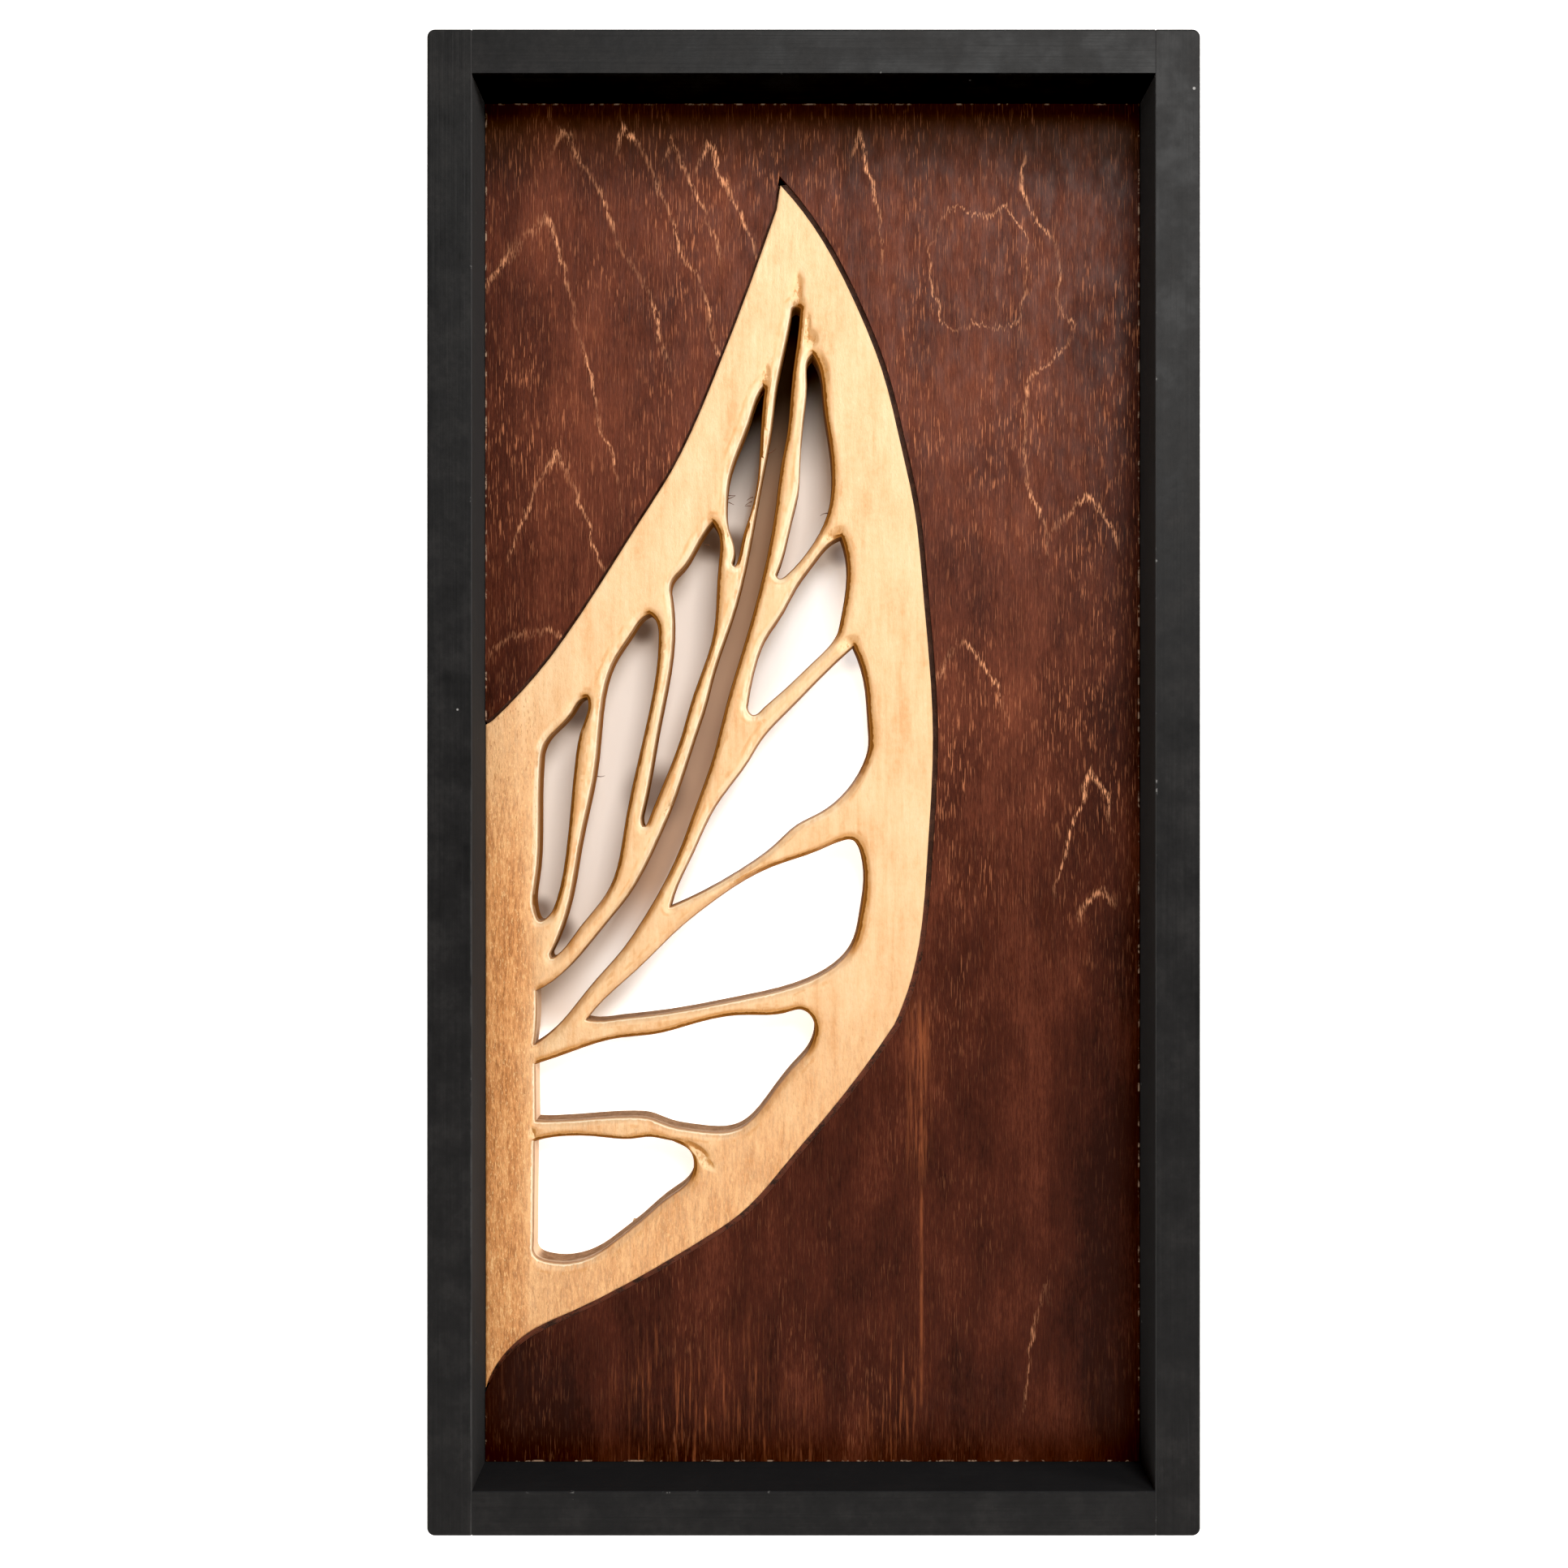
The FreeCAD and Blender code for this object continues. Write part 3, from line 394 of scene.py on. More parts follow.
def gold_paint(name):
    """Pale gold paint over carved wood: cream on rubbed facets, more so as a painted highlight where they
    turn to the light; brown at the cut edges, wider as painted shade where they turn from it.
    """
    f = Finish(name)
    bevel, lip, hollow = (f.attribute(mark) for mark in ("bevel", "lip", "hollow"))
    normal = f.add("ShaderNodeTexCoord").outputs["Normal"]
    # lean: how far a surface turns to the key light; the masks made from it place painted light and shade
    lean = f.vector("DOT_PRODUCT", normal, (0.72, 0, 0.69))
    from_light = f.grade(lean, -0.05, -0.40)
    to_light = f.grade(lean, 0.05, 0.42)
    streak = f.noise((1.6, INWARD, 22), 4, 0.6)
    cloud = f.noise((7, INWARD, 26), 3, 0.55)
    spots = f.noise(2.2, 3, 0.6)
    tone = f.add_up(f.times(cloud, 0.5), f.times(streak, 0.3), f.times(spots, 0.2))
    gold = f.ramp(tone, (0.36, (0.69, 0.370, 0.162)), (0.46, (0.760, 0.462, 0.236)),
                  (0.55, (0.785, 0.510, 0.274)), (0.66, (0.810, 0.556, 0.322)))
    bronze = f.ramp(f.add_up(f.times(f.noise((0.9, INWARD, 5), 4, 0.7), 0.7), f.times(cloud, 0.3)),
                    (0.38, (0.34, 0.115, 0.025)), (0.5, (0.61, 0.248, 0.074)), (0.62, (0.78, 0.395, 0.150)))
    # the spine and the foot of the wing are darker
    spine = f.grade(f.math("ADD", f.x, f.times(f.noise((30, INWARD, 50), 2), 14)), -98, -119)
    low = f.grade(f.z, 60, -50, 0.15, 0.9)
    foot = f.grade(f.math("ADD", f.z, f.times(f.x, -0.35)), -60, -190, 0.0, 0.6)
    colour = f.mix(f.math("MAXIMUM", f.times(spine, low), foot), gold, bronze)
    # facets are rubbed to cream, and get more cream as a painted highlight where they face the light and
    # higher up, with a warm glaze along the crease
    pale = f.times(f.grade(bevel, 0.22, 0.52), f.grade(f.noise((3, INWARD, 9), 3), 0.34, 0.55),
                   f.grade(f.z, -90, 30, 0.25, 1.0))
    colour = f.mix(f.times(pale, f.grade(lean, -0.1, 0.3, 0.30, 0.9)), colour, (0.86, 0.70, 0.46))
    warm = f.times(f.within(bevel, 0.14, 0.05, 0.09), f.grade(f.noise((5, INWARD, 14), 3), 0.46, 0.62))
    colour = f.mix(f.times(warm, 0.5), colour, (0.60, 0.28, 0.085))
    # painted shade in brown on facets turned from the light, stronger lower down
    facet_shade = f.times(f.grade(bevel, 0.08, 0.5), f.grade(lean, 0.05, -0.22),
                     f.grade(f.noise(9, 3), 0.3, 0.5, 0.6, 1.0), f.grade(f.z, 40, -70, 0.6, 0.95))
    colour = f.mix(facet_shade, colour, (0.56, 0.250, 0.066))
    colour = f.mix(f.grade(hollow, 0.04, 0.3, 0.0, 0.6), colour, (0.92, 0.66, 0.37))
    shaded_pit = f.times(f.grade(hollow, 0.05, 0.3), f.grade(lean, 0.06, -0.25),
                         f.grade(f.z, -60, -120, 0.6, 0.95))
    colour = f.mix(shaded_pit, colour, (0.46, 0.190, 0.036))
    blotch = f.times(f.grade(hollow, 0.12, 0.5), f.grade(f.noise((0.9, INWARD, 1.8), 3, 0.6), 0.52, 0.62))
    colour = f.mix(f.times(blotch, 0.7), colour, (0.50, 0.22, 0.055))
    flecks = f.grade(f.noise((0.6, INWARD, 2.6), 3, 0.6), 0.56, 0.68)
    on_spine = f.math("MAXIMUM", f.grade(f.x, -104, -126), foot)
    colour = f.mix(f.times(flecks, f.grade(on_spine, 0.0, 1.0, 0.12, 0.65)), colour, (0.40, 0.160, 0.045))
    glints = f.grade(f.noise((0.5, INWARD, 1.7), 3, 0.6), 0.57, 0.66)
    colour = f.mix(f.times(glints, f.grade(on_spine, 0.0, 1.0, 0.08, 0.55)), colour, (0.92, 0.62, 0.30))
    # along the cut: painted shade in orange and brown, wide on edges turned from the light; a painted
    # highlight in cream on edges turned to it; a brown line at the brink; and a dark hair at the very edge,
    # partly the cut's own colour and partly painted shade, twice as strong on edges not turned to the light
    ragged = f.times(f.math("SUBTRACT", f.noise((2.6, INWARD, 2.6), 3, 0.6), 0.5), 0.55)
    cut = f.math("ADD", lip, ragged)
    edge_shade = f.times(f.grade(cut, 0.28, 0.46), from_light)
    colour = f.mix(f.times(f.grade(cut, -0.02, 0.2), from_light, 0.6), colour, (0.66, 0.33, 0.10))
    colour = f.mix(f.times(edge_shade, 0.95), colour, (0.21, 0.070, 0.008))
    gleam = f.times(f.grade(cut, 0.45, 0.7), to_light)
    colour = f.mix(f.times(gleam, 0.8), colour, (0.95, 0.84, 0.62))
    brink = f.math("ADD", lip, f.times(ragged, 0.2))
    colour = f.mix(f.grade(brink, 0.70, 0.80, 0.0, 0.8), colour, (0.40, 0.160, 0.034))
    hair = f.times(f.grade(brink, 0.86, 0.94), f.grade(to_light, 0.0, 1.0, 1.0, 0.5))
    colour = f.mix(f.times(hair, 0.9), colour, (0.10, 0.034, 0.008))
    through = f.normal_part(1)
    wall = f.grade(through, -0.40, -0.12)
    colour = f.mix(wall, colour, sawn_wall(f, from_light))
    colour = f.mix(f.grade(through, 0.5, 0.9), colour, veneer(f))
    dull = f.math("MAXIMUM", wall, edge_shade)
    rough = f.math("MAXIMUM", f.grade(f.noise((4, INWARD, 9), 3), 0.3, 0.7, 0.34, 0.52), f.times(dull, 0.9))
    relief = f.bump(streak, 0.12, 0.5)
    relief = f.bump(f.noise((0.7, INWARD, 1.8), 4, 0.7), 0.28, 0.8, relief)
    relief = f.bump(f.noise((1.5, INWARD, 2.3), 3, 0.6), 0.45, f.grade(f.z, -30, -110, 0.0, 0.8), relief)
    return f.finish(colour, rough, relief, metallic=0.05, specular=f.grade(dull, 0.0, 1.0, 0.30, 0.02))


def sawn_wall(f, from_light):
    """Colour of the walls of the openings: darker next to the face, dull and unpainted below, with painted
    shade on walls turned from the light and on right-facing walls higher up, and painted light on
    right-facing walls low down.
    """
    rough_sawn = f.add_up(f.times(f.noise((4, 2.4, 4), 3), 0.6), f.times(f.noise(1.0, 3), 0.4))
    sawn = f.ramp(rough_sawn, (0.32, (0.15, 0.075, 0.036)), (0.55, (0.26, 0.148, 0.082)),
                  (0.72, (0.36, 0.220, 0.130)))
    # painted shade on right-facing walls higher up and painted light on them low down
    to_right = f.grade(f.normal_part(0), 0.3, 0.9)
    sawn = f.mix(f.times(to_right, f.grade(f.z, -90, -60)), sawn, (0.27, 0.105, 0.026))
    sawn = f.mix(f.times(to_right, f.grade(f.z, -80, -105)), sawn, (0.82, 0.56, 0.37))
    # painted shade on walls turned from the light
    sawn = f.mix(f.times(from_light, 0.85), sawn, (0.15, 0.055, 0.014))
    below = f.math("SUBTRACT", f.y, f.math("ADD", f.times(f.noise((3, INWARD, 3), 3), 1.6), FRONT_Y + 1.9))
    return f.mix(f.grade(below, 1.2, 0.2, 0.0, 0.85), sawn, (0.20, 0.075, 0.016))


def shaded_glue(name):
    f = Finish(name)
    # near-black glue: its dark colour is painted shade standing in for the depth of the saw cut; lower down
    # it takes the panel's stain
    tone = f.add_up(f.times(f.noise(6, 3), 0.6), f.times(f.noise(0.9, 3), 0.4))
    colour = f.ramp(tone, (0.35, (0.016, 0.0060, 0.0032)), (0.52, (0.040, 0.0150, 0.0080)),
                    (0.72, (0.090, 0.036, 0.020)))
    stained = f.times(f.grade(f.z, -20, -80), f.grade(tone, 0.40, 0.56))
    colour = f.mix(stained, colour, (0.105, 0.028, 0.013))
    return f.finish(colour, f.grade(tone, 0.35, 0.7, 0.45, 0.75), f.bump(f.noise(0.9, 3), 0.25, 0.7),
                    specular=0.2)


def bare_pine(name, along):
    f = Finish(name)
    stretch = (140, 5, 5) if along == "x" else (5, 5, 140)
    rings = f.noise(stretch, 2, 0.5, distortion=0.3)
    bands = f.math("FRACT", f.times(rings, 9.0))
    fibre = f.noise((40, 0.5, 0.5) if along == "x" else (0.5, 0.5, 40), 3, 0.6)
    tone = f.add_up(f.times(bands, 0.45), f.times(fibre, 0.55))
    colour = f.ramp(tone, (0.2, (0.62, 0.41, 0.21)), (0.5, (0.71, 0.50, 0.28)),
                    (0.8, (0.56, 0.33, 0.14)))
    soil = f.grade(f.noise(24, 4, 0.6), 0.5, 0.75)
    colour = f.mix(f.times(soil, 0.3), colour, (0.36, 0.23, 0.12))
    relief = f.bump(fibre, 0.12, 0.5)
    return f.finish(colour, f.grade(fibre, 0.3, 0.7, 0.6, 0.8), relief, specular=0.35)


def bare_plywood(name, front):
    """Birch plywood: face veneer front and back, glued plies on the edges."""
    f = Finish(name)
    grain = f.add_up(f.times(f.noise((60, THROUGH, 8), 3), 0.5),
                     f.times(f.noise((26, THROUGH, 0.8), 2), 0.5))
    face = f.ramp(grain, (0.3, (0.50, 0.32, 0.16)), (0.6, (0.64, 0.45, 0.26)), (0.8, (0.72, 0.54, 0.34)))
    layer = f.math("FRACT", f.math("DIVIDE", f.math("SUBTRACT", f.y, front), 2 * PLY))
    edge = f.ramp(f.math("ADD", layer, f.times(f.noise((1.2, 0.8, 1.2), 2), 0.2)),
                  (0.5, (0.58, 0.40, 0.22)), (0.62, (0.28, 0.155, 0.07)), (0.95, (0.34, 0.2, 0.1)))
    on_edge = f.grade(f.math("ABSOLUTE", f.normal_part(1)), 0.8, 0.5)
    colour = f.mix(on_edge, face, edge)
    relief = f.bump(f.noise((20, 20, 0.6), 3), 0.1, 0.5)
    return f.finish(colour, f.grade(f.noise(6, 3), 0.3, 0.7, 0.6, 0.78), relief, specular=0.3)


def zinc(name):
    f = Finish(name)
    patch = f.cells(1.6)["Color"]
    level = f.vector("DOT_PRODUCT", patch, (0.33, 0.33, 0.33))
    haze = f.noise(2.4, 4, 0.65)
    colour = f.ramp(f.add_up(f.times(level, 0.4), f.times(haze, 0.6)),
                    (0.3, (0.42, 0.43, 0.44)), (0.55, (0.60, 0.61, 0.61)), (0.8, (0.74, 0.74, 0.72)))
    tarnish = f.grade(f.noise(5, 4, 0.7), 0.56, 0.7)
    colour = f.mix(f.times(tarnish, 0.4), colour, (0.28, 0.25, 0.2))
    relief = f.bump(f.noise((3, 0.12, 0.12), 2), 0.02, 0.4)
    return f.finish(colour, f.grade(haze, 0.3, 0.7, 0.22, 0.44), relief, metallic=1.0)


def rubber(name):
    f = Finish(name)
    grit = f.noise(0.5, 3, 0.6)
    cloud = f.noise(5, 3)
    tone = f.add_up(f.times(grit, 0.4), f.times(cloud, 0.6))
    colour = f.ramp(tone, (0.35, (0.012, 0.012, 0.012)), (0.6, (0.028, 0.027, 0.026)),
                    (0.8, (0.06, 0.058, 0.055)))
    return f.finish(colour, f.grade(grit, 0.3, 0.7, 0.7, 0.9), f.bump(grit, 0.06, 0.6), specular=0.3)


# ---------------------------------------------------------------- the carved wing

# All lengths here are in millimetres
EDGE_STEP = 0.85
RINGS = (0.35, 0.85, 1.5, 2.3, 3.2)  # distances from the outlines of the rows of points beside them
RING_GAP = 0.45
GRID_STEP = 1.25
ROW_STEP = 0.87 * GRID_STEP
FINE_STEP = 0.62
FINE_REACH = (9, 12)  # fine steps to each side of a gouge and up and down from it
LIP_WIDTH = 2.3
SPINE_X = -126.5  # the crest of the spine, which falls away a little to both sides
WALL_ROWS = (0.45, 1.0)  # where the rows of points on a side wall lie, as shares of its depth

# Gouges cut beyond the tips of the openings: x, z, half length, half width, depth, lean in degrees
GOUGES = (
    (-6.2, 203.0, 8.5, 2.0, 2.6, 3),
    (-2.0, 188.0, 8.0, 1.2, 0.9, 4),
    (-19.5, 167.5, 6.5, 1.8, 1.8, 8),
    (-0.5, 184.5, 3.8, 3.0, 1.8, 0),
    (5.0, 172.0, 6.5, 1.3, 1.0, -14),
    (-33.5, 105.5, 5.5, 2.2, 1.7, 20),
    (-38.5, 103.5, 3.5, 2.2, 1.2, -40),
    (-69.0, 60.5, 5.0, 2.4, 1.6, 25),
    (-73.5, 57.5, 3.5, 2.0, 1.1, 60),
    (-97.5, 27.0, 5.5, 2.0, 1.6, -28),
    (9.0, 103.5, 5.0, 2.0, 1.4, 55),
    (15.0, 58.5, 5.0, 2.2, 1.3, 55),
    (-114.0, -103.5, 3.5, 2.6, 1.3, 0),
    (-48.2, -152.4, 5.5, 1.9, 3.0, -58),
    (-44.5, -157.5, 5.0, 2.0, 0.9, -48),
    (-59.0, -149.5, 5.0, 1.3, 1.0, 80),
    (-116.5, -146.0, 2.0, 1.4, 1.2, 0),
    (-60.0, -11.0, 4.5, 1.0, 1.0, 30),
)


def mesh_object(name, vertices, polygons):
    """A new object in the scene; vertices are in metres."""
    mesh = bpy.data.meshes.new(name)
    mesh.from_pydata(vertices, [], polygons)
    mesh.update()
    thing = bpy.data.objects.new(name, mesh)
    bpy.context.scene.collection.objects.link(thing)
    return thing


def in_metres(points):
    return [tuple(v * MM for v in p) for p in points]


def front_loops(node):
    """The closed outlines, as arrays of (x, z) in millimetres, of a CAD node's flat front face."""
    points = [tuple(v.co) for v in node.data.vertices]
    front = min(p[1] for p in points) + 0.02 * MM
    uses = {}
    where = {}
    for face in node.data.polygons:
        if any(points[i][1] > front for i in face.vertices):
            continue
        keys = [(round(points[i][0] / MM, 3), round(points[i][2] / MM, 3)) for i in face.vertices]
        for a, b in zip(keys, keys[1:] + keys[:1]):
            edge = (min(a, b), max(a, b))
            uses[edge] = uses.get(edge, 0) + 1
    for (a, b), count in uses.items():
        if count == 1:
            where.setdefault(a, []).append(b)
            where.setdefault(b, []).append(a)
    loops = []
    while where:
        start = next(iter(where))
        loop, here, last = [start], start, None
        while True:
            onward = [p for p in where[here] if p != last] or where[here]
            last, here = here, onward[0]
            if here == start:
                break
            loop.append(here)
        for p in loop:
            del where[p]
        loops.append(np.array(loop))
    return sorted(loops, key=lambda loop: -abs(signed_area(loop)))


def signed_area(loop):
    x, z = loop.T
    return 0.5 * float(np.sum(x * np.roll(z, -1) - z * np.roll(x, -1)))


def resample(loop, step):
    """Points about one step apart along a closed outline, keeping its sharp corners."""
    before = loop - np.roll(loop, 1, axis=0)
    after = np.roll(loop, -1, axis=0) - loop
    turn = np.abs(np.arctan2(before[:, 0] * after[:, 1] - before[:, 1] * after[:, 0],
                             (before * after).sum(axis=1)))
    corners = np.flatnonzero(turn > math.radians(28))
    if len(corners) == 0:
        corners = np.array([0])
    result = []
    count = len(loop)
    for a, b in zip(corners, np.roll(corners, -1)):
        span = (b - a) % count or count
        run = loop[(a + np.arange(span + 1)) % count]
        travelled = np.concatenate([[0], np.cumsum(np.hypot(*np.diff(run, axis=0).T))])
        pieces = max(1, int(round(travelled[-1] / step)))
        at = np.linspace(0, travelled[-1], pieces + 1)[:-1]
        result.append(np.column_stack([np.interp(at, travelled, run[:, k]) for k in (0, 1)]))
    return np.vstack(result)


def tree_of(points):
    tree = kdtree.KDTree(len(points))
    for index, (x, z) in enumerate(points):
        tree.insert((x, 0, z), index)
    tree.balance()
    return tree


def nearest(tree, points):
    """Distance from each point to the nearest point of the tree."""
    return np.array([tree.find((x, 0, z))[2] for x, z in points])


def inside(points, loops):
    """Even-odd test of many points against all outlines at once."""
    odd = np.zeros(len(points), bool)
    px, pz = points.T
    for loop in loops:
        for (x0, z0), (x1, z1) in zip(loop, np.roll(loop, -1, axis=0)):
            if z0 != z1:
                low, high = min(z0, z1), max(z0, z1)
                rows = np.flatnonzero((pz > low) & (pz <= high))
                crossing = x0 + (pz[rows] - z0) / (z1 - z0) * (x1 - x0)
                odd[rows] ^= px[rows] < crossing
    return odd


def wander(x, z, size, salt):
    """A smooth random value from about -0.5 to 0.5 that changes over size millimetres."""
    return noise.noise((x / size, salt, z / size))


def carve(points, to_hole, to_rim):
    """How far the carver went below the front face, and which points are facet, lip or gouge."""
    depth, bevel, lip, hollow = (np.zeros(len(points)) for _ in range(4))
    for i, (x, z) in enumerate(points):
        # the facet's width and depth vary along the edge; beside the spine it is narrow
        width = 3.8 + 1.6 * wander(x, z, 20, 1.5)
        cut = 3.0 + 0.8 * wander(x, z, 26, 4.5)
        if x < -116.5 and z < 15:
            width, cut = 1.8, 1.5
        bevel[i] = max(0.0, 1 - to_hole[i] / width)
        lip[i] = max(0.0, 1 - to_hole[i] / LIP_WIDTH)
        depth[i] = cut * (0.4 * bevel[i] + 0.6 * lip[i] ** 1.6)
        depth[i] += 0.4 * max(0.0, 1 - to_rim[i] / 0.8) ** 2
        if x < -100:
            across = (x - SPINE_X) / 10.0
            depth[i] += 0.55 * min(1.0, across * across) * min(1.0, max(0.0, (-100 - x) / 8))
        for gx, gz, long, wide, deep, lean in GOUGES:
            if abs(x - gx) < 15 and abs(z - gz) < 15:
                c, s = math.cos(math.radians(lean)), math.sin(math.radians(lean))
                u = ((x - gx) * s + (z - gz) * c) / long
                v = ((x - gx) * c - (z - gz) * s) / wide
                pit = math.exp(-(u * u + v * v) * 1.4)
                depth[i] += deep * pit * (1.1 + 0.35 * wander(x, z, 2.6, 9.5))
                hollow[i] = max(hollow[i], pit)
        # the sanded face is never quite flat
        depth[i] += 0.10 + 0.10 * wander(x, z, 9, 2.5) + 0.05 * wander(x * 2.2, z, 3.0, 7.5)
    return np.maximum(depth, 0.0), {"bevel": bevel, "lip": lip, "hollow": hollow}


def anticlockwise(corners):
    """The cross product that is above zero where a face's corners (x, z) run anticlockwise."""
    a, b, c = corners
    return (b - a)[..., 0] * (c - a)[..., 1] - (b - a)[..., 1] * (c - a)[..., 0]


def triangulate(points, loops):
    """Triangles between the outlines: points, the index each had in the input or -1, and the faces."""
    constraints = []
    start = 0
    for loop in loops:
        count = len(loop)
        constraints += [(start + i, start + (i + 1) % count) for i in range(count)]
        start += count
    result = geometry.delaunay_2d_cdt([Vector(p) for p in points], constraints, [], 0, 1e-4)
    flat = np.array([tuple(p) for p in result[0]])
    source = [origin[0] if origin else -1 for origin in result[3]]
    faces = np.array([f for f in result[2] if len(f) == 3])
    return flat, source, faces[inside(flat[faces].mean(axis=1), loops)]


def face_points(loops, edge_tree):
    """Points on the wing's face: rows beside the outlines, a coarse grid, and fine ones at the gouges."""
    rings = []
    for distance in RINGS:
        for loop in loops:
            # outlines run with the wood on their left
            along = np.roll(loop, -1, axis=0) - np.roll(loop, 1, axis=0)
            along /= np.hypot(*along.T)[:, None]
            ring = loop + distance * np.column_stack([-along[:, 1], along[:, 0]])
            rings.append(ring[nearest(edge_tree, ring) > 0.9 * distance])
    rings = np.vstack(rings)
    rings = rings[inside(rings, loops)]
    spaced = {}
    for point in rings:
        spaced.setdefault((int(point[0] // RING_GAP), int(point[1] // RING_GAP)), point)
    edge = np.vstack(loops)
    low, high = edge.min(axis=0), edge.max(axis=0)
    xs = np.arange(low[0], high[0], GRID_STEP)
    zs = np.arange(low[1], high[1], ROW_STEP)
    grid = [(x + (row % 2) * GRID_STEP / 2, z) for row, z in enumerate(zs) for x in xs]
    aside, aloft = FINE_REACH
    grid += [(x + i * FINE_STEP, z + j * FINE_STEP)
             for x, z, *_ in GOUGES for i in range(-aside, aside + 1) for j in range(-aloft, aloft + 1)]
    grid = np.array(grid)
    grid = grid[inside(grid, loops)]
    grid = grid[nearest(edge_tree, grid) > RINGS[-1] + 0.6 * GRID_STEP]
    return np.vstack([edge, np.array(list(spaced.values())), grid])


def build_wing(name):
    """The wing's own outline and openings from the CAD, with a carved face, side walls and a flat back."""
    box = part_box(name)
    front, back = box[0][1] / MM, box[1][1] / MM
    loops = [resample(loop, EDGE_STEP) for loop in front_loops(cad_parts[name])]
    if signed_area(loops[0]) < 0:
        loops[0] = loops[0][::-1]
    loops = [loops[0]] + [loop[::-1] if signed_area(loop) > 0 else loop for loop in loops[1:]]
    edge = np.vstack(loops)
    rim_tree = tree_of(loops[0])
    hole_tree = tree_of(np.vstack(loops[1:]))
    flat, source, faces = triangulate(face_points(loops, tree_of(edge)), loops)
    depth, marks = carve(flat, nearest(hole_tree, flat), nearest(rim_tree, flat))
    # turn every face to look towards the viewer
    turned = anticlockwise([flat[faces[:, k]] for k in range(3)]) < 0
    faces[turned] = faces[turned][:, ::-1]
    vertices = [(x, front + d, z) for (x, z), d in zip(flat, depth)]
    of_edge = {origin: index for index, origin in enumerate(source) if 0 <= origin < len(edge)}
    polygons = [tuple(int(i) for i in face) for face in faces]
    # side walls
    start = 0
    back_edge = []
    for loop in loops:
        count = len(loop)
        upper = top = [of_edge[start + i] for i in range(count)]
        for share in WALL_ROWS:
            lower = list(range(len(vertices), len(vertices) + count))
            for i, (x, z) in enumerate(loop):
                top_y = vertices[top[i]][1]
                vertices.append((x, top_y + share * (back - top_y), z))
            for i in range(count):
                j = (i + 1) % count
                polygons.append((upper[j], upper[i], lower[i], lower[j]))
            upper = lower
        back_edge += lower
        start += count
    # the back
    flat_back, source, faces = triangulate(edge, loops)
    for face in faces:
        ordered = [back_edge[source[i]] for i in face]
        if anticlockwise(flat_back[face]) > 0:
            ordered.reverse()
        polygons.append(tuple(ordered))
    wing = mesh_object("carved_wing", in_metres(vertices), polygons)
    for mark, values in marks.items():
        layer = wing.data.attributes.new(mark, "FLOAT", "POINT")
        padded = np.zeros(len(vertices), dtype=np.float32)
        padded[:len(values)] = values
        layer.data.foreach_set("value", padded)
    wing.data.shade_smooth()
    wing.data.set_sharp_from_angle(angle=math.radians(40))
    return wing


def build_glue_line():
    """Glue in the saw cut between wing and panel: just below their faces, nearly full near the foot."""
    wing_edge = resample(front_loops(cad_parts["wing"])[0], EDGE_STEP)
    panel_edge = resample(front_loops(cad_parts["panel"])[0], EDGE_STEP / 2)
    at_stile = wing_edge[:, 0] < wing_edge[:, 0].min() + 0.6
    turn = int(np.flatnonzero(at_stile & ~np.roll(at_stile, -1))[0]) + 1
    inner = np.roll(wing_edge, -turn, axis=0)
    inner = inner[np.roll(~at_stile, -turn)]
    tree = tree_of(panel_edge)
    outer = np.array([panel_edge[tree.find((x, 0, z))[1]] for x, z in inner])
    front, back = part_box("panel")[0][1] / MM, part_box("panel")[1][1] / MM
    vertices, polygons = [], []
    corners = 5  # of each cross-section
    for (ax, az), (bx, bz) in zip(inner, outer):
        filled = min(1.0, max(0.0, (-20 - az) / 60))
        top = front + 0.9 - 0.6 * filled + (1 - 0.7 * filled) * (
            0.8 * wander(ax, az, 9, 3.5) + 0.3 * wander(ax, az, 2.5, 8.5))
        middle = ((ax + bx) / 2, top + 0.45, (az + bz) / 2)
        vertices += [(ax, top, az), middle, (bx, top, bz), (bx, back - 1, bz), (ax, back - 1, az)]
    last = len(inner) - 1
    for i in range(last):
        for k in range(corners):
            a, b = i * corners + k, i * corners + (k + 1) % corners
            polygons.append((a, b, b + corners, a + corners))
    polygons += [(4, 3, 2, 1, 0), tuple(last * corners + k for k in range(corners))]
    return mesh_object("glue_line", in_metres(vertices), polygons)


FIBRE_RADIUS = 0.24
FIBRE_ROOT = 0.8  # the length that is hidden in the wood
# Loose fibres at the edges of the narrow openings: x, z, direction in degrees, length
FIBRES = (
    (-18.4, 137.0, 8, 3.4),
    (-34.9, 119.5, -8, 2.2),
    (-34.8, 118.2, 14, 2.6),
    (-34.6, 116.6, -25, 1.8),
    (-24.9, 118.8, 190, 2.2),
    (-25.4, 117.0, 205, 2.4),
    (-25.8, 115.2, 178, 1.9),
    (6.4, 112.2, 172, 2.8),
    (-89.5, 2.6, -25, 2.6),
    (-62.0, 66.0, 200, 1.8),
    (-43.2, 99.0, 160, 1.6),
    (-14.2, 71.0, 15, 1.6),
)


